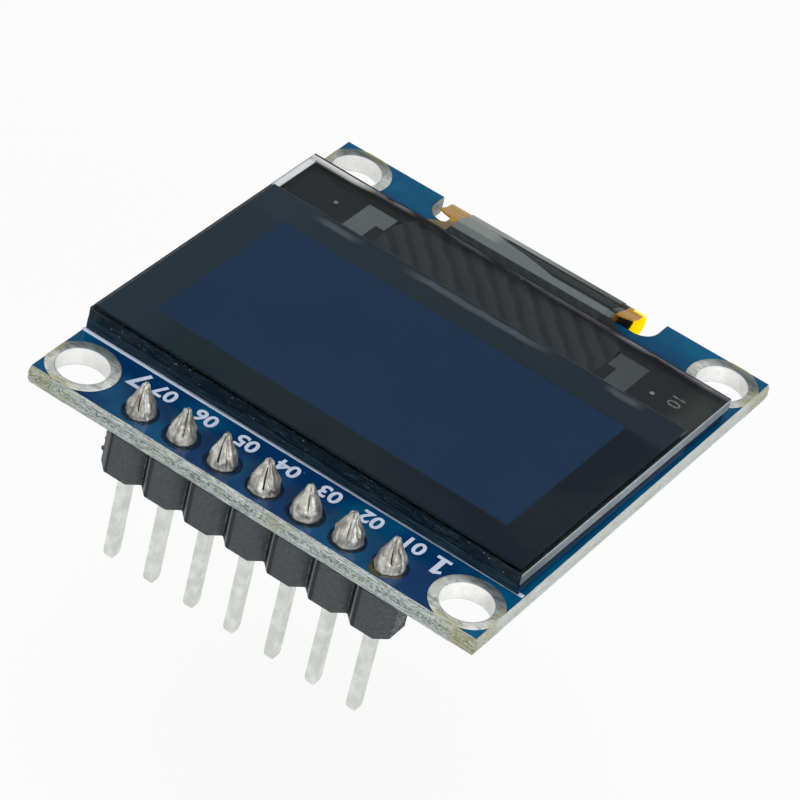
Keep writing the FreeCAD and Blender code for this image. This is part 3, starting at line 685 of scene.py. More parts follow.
def turn_gap(first, second):
    """The angle between two headings, from -pi to pi."""
    return (first - second + math.pi) % (2 * math.pi) - math.pi


def joint(number, chance):
    """One pleated bulb, with the painted shade along its split grooves kept as an attribute for the finish.
    """
    centre_x = FIRST_PIN_X + number * PIN_SPACING
    pleats = []
    for fold in range(JOINT_PLEATS):
        pleats.append({
            "turn": fold * 2 * math.pi / JOINT_PLEATS + chance.uniform(-0.2, 0.2),
            "twist": chance.uniform(-0.35, 0.1),
            "width": chance.uniform(0.06, 0.17),
            "depth": chance.uniform(0.04, 0.11),
            "crack_and_shade": 1.0 if fold % 3 == 0 else chance.uniform(0.0, 0.45),
            "low": chance.uniform(0.0, 0.3),
            "high": chance.uniform(0.8, 1.1),
        })
    lean = (chance.uniform(-0.05, 0.05), chance.uniform(-0.07, 0.02))
    swell = chance.uniform(0.94, 1.04)
    rings = []
    groove_shade = []
    for level in range(JOINT_UP + 1):
        share = level / JOINT_UP
        rise = JOINT_HEIGHT * share
        ring = []
        for step in range(JOINT_AROUND):
            turn = 2 * math.pi * step / JOINT_AROUND
            radius = along(JOINT_PROFILE, rise) * (swell if share < 0.9 else 1.0)
            dark = 0.0
            split = 0.0
            for pleat in pleats:
                middle = pleat["turn"] + pleat["twist"] * share * 2
                gap = turn_gap(turn, middle)
                narrow = pleat["width"] * (1 + 1.2 * share)
                groove = math.exp(-((gap / narrow) ** 2))
                lip = math.exp(-(((gap - 2.2 * narrow) / (1.6 * narrow)) ** 2))
                inside = min(1, max(0, (share - pleat["low"]) * 9))
                inside *= min(1, max(0, (pleat["high"] - share) * 6))
                radius += pleat["depth"] * (0.5 * lip - groove) * inside * (1 - 0.35 * share)
                split = max(split, groove * pleat["crack_and_shade"] * max(0.0, share - 0.72))
                dark = max(dark, math.exp(-((gap / (0.42 * narrow)) ** 2)) * inside * pleat["crack_and_shade"])
            spot = Vector((math.cos(turn) * 1.4 + number * 3.1, math.sin(turn) * 1.4, rise * 1.6))
            radius *= 1 + 0.08 * noise.noise(spot * 1.7)
            radius += 0.012 * noise.noise(spot * 9.0)
            if number == 0 and rise < 0.8:
                tongue = math.exp(-((turn_gap(turn, 1.45) / 0.3) ** 2))
                radius += 0.2 * tongue * (1 - rise / 0.8)
            radius = max(0.02, min(radius, JOINT_LIMIT))
            ring.append((
                centre_x + radius * math.cos(turn) + lean[0] * share ** 2,
                HEADER_Y + radius * math.sin(turn) + lean[1] * share ** 2,
                BOARD_FRONT + rise - split * 0.9,
            ))
            groove_shade.append(dark)
        rings.append(ring)
    bulb = stack("drawn_solder_%d" % (number + 1), rings, smooth=True)
    marks = bulb.data.attributes.new("crack_and_shade", "FLOAT", "POINT")
    marks.data.foreach_set("value", groove_shade)
    return bulb


def solder_finish():
    f = Finish("drawn_solder", Metallic=0.75)
    crack_and_shade = f.node("ShaderNodeAttribute", {"attribute_name": "crack_and_shade"}, None, "Fac")
    flow = f.grain(5.0, 4.0, 0.6, (1.0, 1.0, 0.35))
    cloud = f.grain(1.8, 3.0, 0.6)
    pits = f.grain(16.0, 3.0, 0.7)
    colour = f.blend(cloud.rise(0.3, 0.7), tint(150, 148, 142), tint(214, 213, 207))
    colour = f.blend(flow.rise(0.5, 0.62) * 0.6, colour, tint(112, 108, 100))
    colour = f.blend(pits.fall(0.26, 0.34), colour, tint(70, 64, 55))
    # Painted shade: the split grooves are painted near black.
    colour = f.blend(crack_and_shade.rise(0.25, 0.75), colour, tint(26, 24, 22))
    # Painted shadow: the bulb's foot is painted darker where it meets the board.
    colour = f.blend(f.z.fall(BOARD_FRONT + 0.02, BOARD_FRONT + 0.14) * 0.85, colour, tint(46, 44, 36))
    rough = 0.36 + cloud * 0.2 + crack_and_shade * 0.4
    return f.feed(Base_Color=colour, Roughness=rough, Normal=f.bump(flow * 0.7 + pits * 0.3, 0.05))


def flux_mesh(number, chance):
    """A flat dark puddle round the foot of one joint, with an uneven shore: a painted shadow."""
    centre_x = FIRST_PIN_X + number * PIN_SPACING
    shores = (0.7, 0.84, 0.93, 0.98)
    heights = (0.035, 0.03, 0.016, 0.0)
    rings = []
    for shore, height in zip(shores, heights):
        ring = []
        for step in range(72):
            turn = 2 * math.pi * step / 72
            sway = noise.noise(Vector((math.cos(turn) * 1.2 + number * 5, math.sin(turn) * 1.2, 3.0)))
            reach = shore * (1 + (0.1 * sway + chance) * (shore > 0.8))
            if number == 0 and shore > 0.8:
                reach += 0.22 * math.exp(-((turn_gap(turn, 1.2) / 0.5) ** 2))
            side_y = min(HEADER_Y + reach * math.sin(turn), BOARD_Y - SCORE_INSET)
            ring.append((centre_x + reach * math.cos(turn), side_y, BOARD_FRONT + height))
        rings.append(ring)
    return stack("flux_%d" % (number + 1), rings[::-1], smooth=True)


def flux_finish():
    f = Finish("painted_foot_shadow_and_stain", Coat_Weight=0.5, Coat_Roughness=0.08, IOR=1.5)
    crust = f.grain(3.0, 4.0, 0.7)
    first = f.x.fall(-6.6, -6.2) * f.y.rise(12.7, 13.1)
    # Painted shadow: a dark blue film round each foot stands for the joint's shadow on the board, with an
    # olive patch at the first pin.
    colour = f.blend(crust, tint(2, 20, 38), tint(8, 46, 66))
    colour = f.blend(first * crust.rise(0.35, 0.55), colour, tint(72, 68, 34))
    clear = 0.3 + crust.rise(0.35, 0.6) * 0.35 + first * 0.3
    return f.feed(Base_Color=colour, Roughness=0.25 + crust * 0.25, Alpha=clear, Normal=f.bump(crust, 0.02))


tin_solder = solder_finish()
foot_shadow_and_stain = flux_finish()
for number in range(PIN_COUNT):
    bulb = joint(number, random.Random(JOINT_SEED + number))
    settle(bulb, tin_solder, "solder", "solder_joint_%d" % (number + 1))
    settle(flux_mesh(number, 0.02 * (number % 3)), foot_shadow_and_stain, "solder")


# Print on the resist: slightly raised white ink. A line runs across the board
# beside the panel, a plain number stands by each joint, larger ones at both ends.
INK_HEIGHT = 0.012
INK_LINE = (-13.5, 13.6, 9.55, 9.8)
LABEL_Y = 10.2
LABEL_SIZE = 1.3
FIRST_LABEL = (-9.3, 10.25)
LAST_LABEL = (9.1, 10.1)
LAST_LABEL_SIZE = 1.9


def ink_strip(name, left, right, low, high):
    """A thin printed bar whose long edges waver a little."""
    steps = 90
    rings = []
    for step in range(steps + 1):
        x = left + (right - left) * step / steps
        near = high + 0.012 * noise.noise(Vector((x * 2.3, 1.0, 0.0)))
        far = low + 0.012 * noise.noise(Vector((x * 2.3, 7.0, 0.0)))
        top = BOARD_FRONT + INK_HEIGHT
        rings.append([(x, far, BOARD_FRONT), (x, near, BOARD_FRONT), (x, near, top), (x, far, top)])
    return stack(name, rings)


def ink_number(name, words, x, y, size, weight, level=BOARD_FRONT, turn=0.0):
    """Printed figures, read from the display side with the header edge at the top."""
    curve = bpy.data.curves.new(name, "FONT")
    curve.body = words
    curve.size = size * MM
    curve.align_x = "CENTER"
    curve.align_y = "BOTTOM_BASELINE"
    curve.extrude = INK_HEIGHT / 2 * MM
    curve.offset = weight * MM
    curve.resolution_u = 4
    text = put(name, curve)
    bpy.context.view_layer.update()
    mesh = bpy.data.meshes.new_from_object(text.evaluated_get(bpy.context.evaluated_depsgraph_get()))
    bpy.data.objects.remove(text)
    mesh.transform(Matrix.Rotation(turn, 4, "Z"))
    mesh.transform(Matrix.Translation(Vector((x, y, level + INK_HEIGHT / 2)) * MM))
    return put(name, mesh)


def ink_finish():
    f = Finish("white_print")
    cloud = f.grain(2.5, 3.0, 0.6)
    wear_and_highlight = f.grain(9.0, 4.0, 0.7)
    colour = f.blend(cloud, tint(196, 208, 232), tint(218, 226, 242))
    colour = f.blend(wear_and_highlight.rise(0.66, 0.74) * 0.5, colour, tint(120, 150, 200))
    return f.feed(Base_Color=colour, Roughness=0.45 + wear_and_highlight * 0.2, Normal=f.bump(wear_and_highlight, 0.006))


white_ink = ink_finish()
settle(ink_strip("print_line", *INK_LINE), white_ink, "circuit_board")
for number in range(PIN_COUNT):
    label = ink_number(
        "print_pin_%d" % (number + 1), "0%d" % (number + 1),
        FIRST_PIN_X + number * PIN_SPACING, LABEL_Y, LABEL_SIZE, 0.035,
    )
    settle(label, white_ink, "circuit_board")
last = ink_number("print_last", str(PIN_COUNT), *LAST_LABEL, LAST_LABEL_SIZE, 0.03)
settle(last, white_ink, "circuit_board")
one = (
    (-0.42, 0.0), (0.42, 0.0), (0.42, 0.2), (0.14, 0.2), (0.14, 1.35), (-0.12, 1.35),
    (-0.42, 1.12), (-0.36, 0.94), (-0.14, 1.08), (-0.14, 0.2), (-0.42, 0.2),
)
levels = (BOARD_FRONT, BOARD_FRONT + INK_HEIGHT)
first_x, first_y = FIRST_LABEL
first = stack("print_first", [[(x + first_x, y + first_y, height) for x, y in one] for height in levels])
settle(first, white_ink, "circuit_board")


# Display panel: two glasses sealed together, taped to the board a little askew.
# The lower one is a cap over the dark layers, and seen from outside its scribed
# walls look nearly black, with fine ledges where the break ran unevenly.
PANEL_Y = 0.02
PANEL_TURN = math.radians(-0.6)
PANEL_HALF = 13.35
PANEL_NEAR = 9.74
CAP_FAR = -5.56
TAPE_TOP = BOARD_FRONT + 0.15
CAP_TOP = TAPE_TOP + 0.55
GLASS_BOTTOM = CAP_TOP + 0.03
GLASS_TOP = GLASS_BOTTOM + 0.7


def on_panel(x, y, z):
    """From the panel's own straight frame to its place on the board."""
    turned = Matrix.Rotation(PANEL_TURN, 3, "Z") @ Vector((x, y, z))
    return turned + Vector((0, PANEL_Y, 0))


def panel_spot(f):
    """x and y in the panel's own frame, for a finish."""
    x = f.x * math.cos(PANEL_TURN) + (f.y - PANEL_Y) * math.sin(PANEL_TURN)
    y = (f.y - PANEL_Y) * math.cos(PANEL_TURN) - f.x * math.sin(PANEL_TURN)
    return x, y


def rim_points(low, high, step):
    """Points round the panel between two y levels, each with its inward direction."""
    corners = [(-PANEL_HALF, low), (PANEL_HALF, low), (PANEL_HALF, high), (-PANEL_HALF, high)]
    ways = [(0, 1), (-1, 0), (0, -1), (1, 0)]
    points = []
    for number in range(4):
        start, end = Vector(corners[number]), Vector(corners[(number + 1) % 4])
        way, before = ways[number], ways[number - 1]
        points.append((start, (way[0] + before[0], way[1] + before[1])))
        steps = round((end - start).length / step)
        points += [(start + (end - start) * count / steps, way) for count in range(1, steps)]
    return points


def wall_frame(name, low, high, section, ragged, step=0.25):
    """A thin closed skin on the panel's four walls, broken along fine ledges."""
    points = rim_points(low, high, step)
    rings = []
    for inset, height in section:
        ring = []
        for spot, way in points:
            nick = 0.5 + 0.9 * noise.noise(Vector((spot.x * 0.9, spot.y * 0.9, height * 9)))
            nick += 0.6 * noise.noise(Vector((spot.x * 4.0, spot.y * 4.0, height * 20)))
            depth = inset + ragged * min(1.0, max(0.0, nick)) * (inset < 0.02)
            ring.append(tuple(on_panel(spot.x + way[0] * depth, spot.y + way[1] * depth, height)))
        rings.append(ring)
    corners = [corner for ring in rings for corner in ring]
    return solid(name, corners, ring_faces(len(rings), len(points), closed=True))


def cap_finish():
    f = Finish("dark_cap_glass", Specular_IOR_Level=0.06)
    streaks = f.grain(2.0, 4.0, 0.6, (0.25, 0.25, 14.0))
    ledges = f.grain(1.0, 3.0, 0.6, (0.3, 0.3, 6.0))
    chips = f.specks(2.6, 0.07)
    x, y = panel_spot(f)
    near = y.rise(9.5, 9.7)
    colour = f.blend(streaks.rise(0.44, 0.64), tint(18, 38, 50), tint(48, 74, 88))
    colour = f.blend(ledges.rise(0.5, 0.6) * 0.5, colour, tint(6, 16, 26))
    # Painted reflection: the first-pin wall is painted the blue of the board, bluest towards the bottom.
    left = x.fall(-13.3, -13.2)
    painted_board_reflection = f.blend(f.z.fall(1.35, 1.75), tint(4, 20, 34), tint(2, 52, 90))
    colour = f.blend(left * 0.9, colour, painted_board_reflection)
    colour = f.blend(chips * near * 0.8, colour, tint(150, 162, 162))
    rough = 0.35 + streaks * 0.3
    return f.feed(Base_Color=colour, Roughness=rough, Normal=f.bump(streaks + chips, 0.03))


def tape_finish():
    f = Finish("black_foam_tape", Specular_IOR_Level=0.1)
    foam = f.grain(12.0, 3.0, 0.7)
    colour = f.blend(foam, tint(12, 14, 15), tint(30, 33, 34))
    # Painted reflection: the first-pin side is painted the blue of the board below it.
    blue = f.blend(foam, tint(2, 36, 62), tint(6, 56, 88))
    colour = f.blend(f.x.fall(-13.0, -12.7) * 0.85, colour, blue)
    return f.feed(Base_Color=colour, Roughness=0.75 + foam * 0.2, Normal=f.bump(foam, 0.03))


def plain_finish(name, grain, dark, pale, rough, relief, **constants):
    """A finish whose colour, roughness and relief all follow one grain."""
    f = Finish(name, **constants)
    cloud = f.grain(*grain)
    least, spread = rough
    colour = f.blend(cloud, tint(*dark), tint(*pale))
    return f.feed(Base_Color=colour, Roughness=least + cloud * spread, Normal=f.bump(cloud, relief))


def layers_finish():
    f = Finish("deposited_layers", Metallic=0.4)
    lines = f.grain(8.0, 2.0, 0.5, (0.2, 4.0, 1.0))
    colour = f.blend(lines, tint(20, 26, 36), tint(34, 42, 56))
    return f.feed(Base_Color=colour, Roughness=0.25 + lines * 0.2)


dark_glass = cap_finish()
paint(["cap_glass"], dark_glass)
cap_low, cap_high = TAPE_TOP + 0.002, CAP_TOP - 0.002
cap_section = [(-0.012, cap_low + (cap_high - cap_low) * share / 11) for share in range(12)]
cap_section += [(0.03, cap_high), (0.03, cap_low)]
settle(wall_frame("cap_walls", CAP_FAR, PANEL_NEAR, cap_section, 0.02), dark_glass, "cap_glass")
paint(["display_tape", "ledge_pad"], tape_finish())
paint(["glass_seal"], plain_finish(
    "grey_seal_adhesive", (3.0, 3.0, 0.6, (0.6, 0.6, 3.0)), (42, 46, 48), (88, 96, 96), (0.35, 0.3), 0.01,
))
paint(["emitter_layers"], layers_finish())
paint(["desiccant_sheet"], plain_finish(
    "white_getter", (7.0, 4.0, 0.7), (206, 205, 198), (228, 227, 222), (0.8, 0.1), 0.02,
))


# Front glass: clear sheet glass, scribed and broken to size. The break leaves a
# frosted skin on its walls, with a painted highlight on the first-pin wall. A painted
# highlight runs along the ledge's far edge; a white film under its clear last-pin rim is painted light.
GLASS_EDGE = 0.02
GLASS_INSET = 0.012
LIFT = 0.006
HIGHLIGHT_WIDTH = 0.46
RIM_INNER = 12.88
RIM_FAR = -9.22
RIM_NEAR = -5.7
SKIN_LOW = GLASS_TOP + 0.001
SKIN_HIGH = GLASS_TOP + 0.004


def front_glass_piece():
    """The clear sheet, just inside its frosted walls."""
    points = rim_points(-PANEL_NEAR, PANEL_NEAR, 0.5)
    rings = []
    for height, inset in (
        (GLASS_BOTTOM + LIFT, GLASS_EDGE), (GLASS_BOTTOM + LIFT + GLASS_EDGE, 0.0),
        (GLASS_TOP - GLASS_EDGE, 0.0), (GLASS_TOP, GLASS_EDGE),
    ):
        depth = GLASS_INSET + inset
        places = [(spot.x + way[0] * depth, spot.y + way[1] * depth) for spot, way in points]
        rings.append([tuple(on_panel(x, y, height)) for x, y in places])
    return stack("front_glass_sheet", rings)


def clear_glass_finish():
    f = Finish("clear_sheet_glass", Transmission_Weight=1.0, IOR=1.5)
    cloud = f.grain(0.5, 2.0)
    colour = f.blend(cloud, tint(240, 247, 246), tint(250, 252, 252))
    return f.feed(Base_Color=colour, Roughness=0.004 + cloud * 0.01)


def frosted_finish():
    f = Finish("broken_glass_wall", Specular_IOR_Level=0.2)
    x, y = panel_spot(f)
    lines = f.grain(3.0, 5.0, 0.65, (0.6, 0.6, 6.0))
    blotch = f.grain(0.7, 3.0, 0.6, (1.0, 1.0, 0.2))
    chips = f.specks(2.4, 0.12)
    left = x.fall(0.02 - PANEL_HALF, 0.06 - PANEL_HALF)
    right = x.rise(PANEL_HALF - 0.06, PANEL_HALF - 0.02)
    far = y.fall(0.02 - PANEL_NEAR, 0.06 - PANEL_NEAR)
    # Painted highlight: the first-pin wall is painted pale, palest along its top; the other walls stay
    # dark.
    pale = f.blend(lines * 0.6 + blotch * 0.5, tint(60, 74, 86), tint(160, 170, 178))
    pale = f.blend(y.rise(5.0, 9.7) * 0.6, pale, tint(36, 54, 68))
    pale = f.blend(y.fall(-8.0, -4.0) * 0.35, pale, tint(60, 80, 94))
    pale = f.blend(f.z.rise(2.36, 2.44) * 0.5, pale, tint(196, 202, 206))
    dark = f.blend(lines.rise(0.5, 0.7), tint(10, 26, 37), tint(56, 76, 86))
    dark = f.blend(f.z.fall(1.86, 1.93), dark, tint(8, 18, 26))
    dark = f.blend(chips * 0.7, dark, tint(170, 180, 180))
    colour = f.blend(left, dark, pale)
    colour = f.blend(far, colour, tint(14, 16, 17))
    rim = f.largest(f.z.fall(1.88, 1.93), f.z.rise(2.44, 2.49))
    clear = 0.7 + lines.rise(0.45, 0.7) * 0.15 + left * 0.2
    clear = clear * (1.0 - right) + right * (0.06 + rim * 0.5)
    rough = 0.4 + lines * 0.3
    return f.feed(Base_Color=colour, Roughness=rough, Alpha=clear, Normal=f.bump(lines + chips, 0.03))


def bevel_strip():
    """A painted highlight strip along the far edge, thinning to nothing inwards."""
    rings = []
    steps = 110
    for step in range(steps + 1):
        x = GLASS_INSET + 0.01 - PANEL_HALF + 2 * (PANEL_HALF - GLASS_INSET - 0.01) * step / steps
        back = 0.02 * noise.noise(Vector((x * 1.5, 4.0, 0.0)))
        far = GLASS_INSET + GLASS_EDGE - PANEL_NEAR
        near = far + HIGHLIGHT_WIDTH + back + 0.2 * min(1.0, max(0.0, (x - 8.0) / 2.0))
        section = ((far, SKIN_LOW), (near, SKIN_LOW), (near, SKIN_HIGH), (far, SKIN_HIGH))
        rings.append([tuple(on_panel(x, y, z)) for y, z in section])
    return stack("ground_bevel", rings)


def bevel_finish():
    f = Finish("ground_bevel")
    x, y = panel_spot(f)
    cloud = f.grain(1.1, 4.0, 0.65, (0.35, 1.4, 1.0))
    far = GLASS_INSET + GLASS_EDGE - PANEL_NEAR
    right = x.rise(8.4, 10.6)
    fade = (y - right * 0.2).fall(far - 0.05, far + HIGHLIGHT_WIDTH)
    outer = 0.35 + x.size().rise(5.6, 7.0) * 0.65
    ends = f.largest(x.fall(-12.5, -9.5) * 0.4, right * 0.85)
    # Painted highlight: pale and broken along the far edge, white at the last-pin end, with a dark line at
    # the very edge.
    colour = f.blend(cloud, tint(96, 98, 108), tint(206, 206, 212))
    colour = f.blend(right, colour, f.blend(cloud, tint(214, 216, 216), tint(244, 245, 244)))
    line = (y - right * 0.05).fall(far + 0.04, far + 0.07)
    colour = f.blend(line, colour, tint(10, 11, 12))
    clear = fade * outer * (cloud.rise(0.42, 0.62) * 0.4 * (1.0 - right) + ends)
    return f.feed(Base_Color=colour, Roughness=0.5 + cloud * 0.2, Alpha=f.largest(clear, line * 0.9))


def rim_strip():
    """A white film under the clear rim at the last-pin end of the ledge: painted light for what shows
    through it.
    """
    rings = []
    for step in range(41):
        y = RIM_FAR + (RIM_NEAR - RIM_FAR) * step / 40
        inner = RIM_INNER + 0.03 * noise.noise(Vector((3.0, y * 1.2, 7.0)))
        outer = PANEL_HALF - GLASS_INSET - GLASS_EDGE
        section = ((inner, SKIN_LOW), (outer, SKIN_LOW), (outer, SKIN_HIGH), (inner, SKIN_HIGH))
        rings.append([tuple(on_panel(x, y, z)) for x, z in section])
    return stack("clear_rim", rings)


def rim_finish():
    f = Finish("clear_rim")
    x = panel_spot(f)[0]
    cloud = f.grain(1.4, 3.0, 0.6, (1.0, 0.4, 1.0))
    # Painted light: near white, with a grey line at the outer edge.
    colour = f.blend(cloud, tint(224, 228, 229), tint(248, 249, 249))
    outer = x.rise(PANEL_HALF - 0.1, PANEL_HALF - 0.07)
    colour = f.blend(outer * 0.6, colour, tint(122, 126, 128))
    clear = 0.86 + cloud * 0.12 - x.fall(RIM_INNER + 0.02, RIM_INNER + 0.12) * 0.4
    return f.feed(Base_Color=colour, Roughness=0.45 + cloud * 0.2, Alpha=clear)


settle(front_glass_piece(), clear_glass_finish(), "front_glass", "front_glass")
wall_low, wall_inset = GLASS_BOTTOM + 0.004, GLASS_INSET - 0.001
wall_section = [(0.0, wall_low + (GLASS_TOP - wall_low) * share / 9) for share in range(10)]
wall_section += [(wall_inset, GLASS_TOP), (wall_inset, wall_low)]
front_walls = wall_frame("front_glass_walls", -PANEL_NEAR, PANEL_NEAR, wall_section, 0.008)
settle(front_walls, frosted_finish(), "front_glass")
settle(bevel_strip(), bevel_finish(), "front_glass")
settle(rim_strip(), rim_finish(), "front_glass")


# Polariser: a dark film laminated to the front glass. The lit area of the
# display shows through it as a navy rectangle inside a blacker border.
POLARISER_HALF = 13.13
POLARISER_NEAR = 9.52
POLARISER_FAR = -5.63
POLARISER_TOP = GLASS_TOP + 0.2
ACTIVE_HALF = 10.872
ACTIVE_NEAR = 7.54
ACTIVE_FAR = -3.324


def polariser_piece():
    """The film, with a softened upper edge that wavers where it was cut."""
    rings = []
    for height, inset in ((GLASS_TOP + LIFT, 0.0), (POLARISER_TOP - 0.03, 0.0), (POLARISER_TOP, 0.03)):
        left, right = inset - POLARISER_HALF, POLARISER_HALF - inset
        low, high = POLARISER_FAR + inset, POLARISER_NEAR - inset
        ring = []
        for start, end in (
            ((left, low), (right, low)), ((right, low), (right, high)),
            ((right, high), (left, high)), ((left, high), (left, low)),
        ):
            for step in range(40):
                x = start[0] + (end[0] - start[0]) * step / 40
                y = start[1] + (end[1] - start[1]) * step / 40
                waver = 0.012 * noise.noise(Vector((x * 0.8, y * 0.8, 9.0)))
                waver_y = waver * (abs(y) < 9.4) * 0.5
                ring.append(tuple(on_panel(x * (1 - abs(waver) / 13), y + waver_y, height)))
        rings.append(ring)
    return stack("polariser_film", rings)


def polariser_finish():
    f = Finish("polarising_film", Coat_Weight=0.2, Coat_Roughness=0.03, Specular_IOR_Level=0.3)
    x, y = panel_spot(f)
    active = x.between(-ACTIVE_HALF, ACTIVE_HALF, 0.07) * y.between(ACTIVE_FAR, ACTIVE_NEAR, 0.07)
    cloud = f.grain(0.14, 3.0)
    navy = f.blend(cloud, tint(21, 46, 73), tint(29, 54, 81))
    border = f.blend(x.rise(-13.0, 9.0), tint(22, 29, 40), tint(25, 39, 46))
    border = f.blend(x.rise(8.0, 11.5) * 0.8, border, tint(38, 52, 64))
    border = f.blend(y.fall(-3.6, -3.0) * 0.4, border, tint(48, 60, 70))
    border = f.blend(cloud.rise(0.45, 0.6) * 0.25, border, tint(44, 52, 56))
    drift = f.grain(0.35, 3.0, 0.6, (1.0, 0.3, 1.0))
    # Painted highlight: a broken pale band runs along the border near the far edge.
    band = y + drift * 0.5 - x * 0.012
    seam_highlight = band.between(POLARISER_FAR + 0.5, POLARISER_FAR + 0.95, 0.12)
    runs = f.largest(x.between(-10.4, -8.6, 0.5), x.between(7.4, 9.6, 0.7))
    runs = f.largest(x.between(-4.2, 3.6, 1.2), runs)
    border = f.blend(seam_highlight * runs * (0.35 + drift * 0.6), border, tint(92, 98, 102))
    colour = f.blend(active, border, navy)
    edge = y.fall(POLARISER_FAR + 0.03, POLARISER_FAR + 0.07)
    colour = f.blend(edge * (0.35 + drift * 0.5), colour, tint(112, 120, 122))
    colour = f.blend(f.z.fall(GLASS_TOP + 0.1, GLASS_TOP + 0.16) * 0.8, colour, tint(34, 44, 50))
    dust = f.specks(0.9, 0.02)
    colour = f.blend(dust * 0.4, colour, tint(130, 140, 150))
    rough = 0.1 + cloud * 0.04 + dust * 0.3
    return f.feed(Base_Color=colour, Roughness=rough)


settle(polariser_piece(), polariser_finish(), "polariser", "polariser")


# Under the ledge: the driver chip in its dark resin, whose tracks show as slanted
# ribs, two electrode pads of grey metal film, and black film round them with a
# small printed number. All are seen through the glass.
RIB_PITCH = 1.38
MASK_LEVEL = 1.802
NUMBER_LEVEL = MASK_LEVEL + 0.01
RESIN_SKIN = 1.8365
FILM_THICKNESS = 0.003
FILM_LEFT = -13.26
FILM_RIGHT = 13.2
ALIGNMENT_MARKS = ((10.32, -7.55), (-10.03, -7.36))


def resin_finish():
    f = Finish("ribbed_chip_resin", Coat_Weight=0.3, Coat_Roughness=0.2)
    wobble = f.grain(0.5, 3.0, 0.6)
    slant = f.x + f.y * 0.98 + wobble * 0.9
    wave = f.math("SINE", slant * (2 * math.pi / RIB_PITCH))
    fine = f.math("SINE", slant * (4 * math.pi / RIB_PITCH) + 1.0)
    broken = f.grain(1.4, 3.0, 0.6, (1.0, 0.5, 1.0))
    rib = (wave * 0.7 + fine * 0.3).rise(-0.6, 0.9) * (0.5 + broken * 0.7)
    colour = f.blend(rib, tint(20, 23, 26), tint(62, 66, 70))
    colour = f.blend(broken.rise(0.62, 0.7) * 0.3, colour, tint(20, 21, 23))
    return f.feed(Base_Color=colour, Roughness=0.35 + broken * 0.25, Normal=f.bump(rib, 0.02))


def ledge_film(name, corners, level):
    """A thin film lying just under the ledge, in the panel's straight frame."""
    outline = []
    for number, (x, y) in enumerate(corners):
        next_x, next_y = corners[(number + 1) % len(corners)]
        for step in range(12):
            share = step / 12
            spot = Vector((x + (next_x - x) * share, y + (next_y - y) * share, level))
            waver = 0.02 * noise.noise(spot) * (spot.y > -9.6)
            outline.append((spot.x + waver, spot.y + waver))
    levels = (level, level + FILM_THICKNESS)
    return stack(name, [[tuple(on_panel(x, y, height)) for x, y in outline] for height in levels])


def mask_finish():
    f = Finish("black_ledge_film")
    x, y = panel_spot(f)
    cloud = f.grain(0.9, 3.0, 0.6)
    colour = f.blend(cloud, tint(0, 4, 7), tint(5, 13, 18))
    colour = f.blend(x.fall(-12.6, -11.0) * 0.6, colour, tint(84, 86, 84))
    for spot_x, spot_y in ALIGNMENT_MARKS:
        reach = f.math("SQRT", (x - spot_x) ** 2.0 + (y - spot_y) ** 2.0)
        colour = f.blend(reach.fall(0.1, 0.15), colour, tint(190, 192, 190))
    return f.feed(Base_Color=colour, Roughness=0.5 + cloud * 0.2)


def ledge_print_finish():
    f = Finish("grey_ledge_print")
    wear_and_highlight = f.grain(6.0, 3.0, 0.7)
    colour = f.blend(wear_and_highlight.rise(0.4, 0.6), tint(110, 112, 112), tint(172, 174, 172))
    return f.feed(Base_Color=colour, Roughness=0.5 + wear_and_highlight * 0.2)


def film_finish():
    f = Finish("grey_metal_film", Metallic=0.3)
    cloud = f.grain(2.5, 3.0, 0.6)
    colour = f.blend(cloud, tint(140, 143, 147), tint(158, 161, 165))
    colour = f.blend(f.x.fall(-6.0, 6.0) * 0.8, colour, tint(96, 100, 104))
    return f.feed(Base_Color=colour, Roughness=0.4 + cloud * 0.15, Normal=f.bump(cloud, 0.004))


ribbed = resin_finish()
paint(["chip_resin", "driver_chip", "bonding_film"], ribbed)
paint(["electrode_pads"], film_finish())
skin = ((-6.9, -9.66), (6.5, -9.66), (7.05, -8.3), (7.05, -5.7), (-7.05, -5.7), (-7.05, -8.3))
settle(ledge_film("resin_skin", skin, RESIN_SKIN), ribbed, "chip_resin")
black_film = mask_finish()
for name, left, right, low, high, level in (
    ("ledge_film_1", FILM_LEFT, -7.1, -8.86, -5.72, MASK_LEVEL),
    ("ledge_film_7", 7.1, FILM_RIGHT, -8.86, -5.72, MASK_LEVEL),
    ("ledge_film_edge", FILM_LEFT, FILM_RIGHT, -9.718, -8.84, RESIN_SKIN - 0.005),
    ("ledge_film_end", FILM_LEFT, FILM_RIGHT, -5.67, -5.3, RESIN_SKIN),
):
    corners = ((left, low), (right, low), (right, high), (left, high))
    settle(ledge_film(name, corners, level), black_film, "ledge_pad")
mark = ink_number("ledge_number", "01", -11.75, -7.6, 1.1, 0.0, NUMBER_LEVEL, -math.pi / 2)
settle(mark, ledge_print_finish(), "ledge_pad")


# Flex circuit: amber polyimide bonded under the ledge, necked, folded through
# the notch to the back and spread into a wide tail. A satin black coverlay
# backs the fold and leaves a bare amber margin at each side.
FLEX_X = 0.2
BOND_EDGE = PANEL_Y - PANEL_NEAR
BOND_WIDTH = 1.2
OVERHANG = 1.93
FLEX_LEVEL = GLASS_BOTTOM - 0.02
FLEX_THICKNESS = 0.1
COVERLAY_THICKNESS = 0.04
COVERLAY_HALF = 4.9
COVERLAY_GAP = 0.15
COVERLAY_TAIL = 0.9
TAIL_END = -5.4
FLEX_CREST = 25
FLEX_DIP = 9
CREST_RADIUS = 1.8
DIP_RADIUS = 0.9
FLEX_RUN = 0.3
TRACK_PITCH = 0.62
SHEEN_PITCH = 0.93
TAIL_HALF = 9.7
FLEX_OUTLINE = ((-8.3, 6.1), (-10.77, 6.1), (-11.27, 5.3), (-11.8, 5.3), (-12.05, 6.2), (-30.0, 6.2))
TAIL_OUTLINE = ((-30.0, 6.2), (-10.82, 6.2), (-8.92, TAIL_HALF), (0.0, TAIL_HALF))


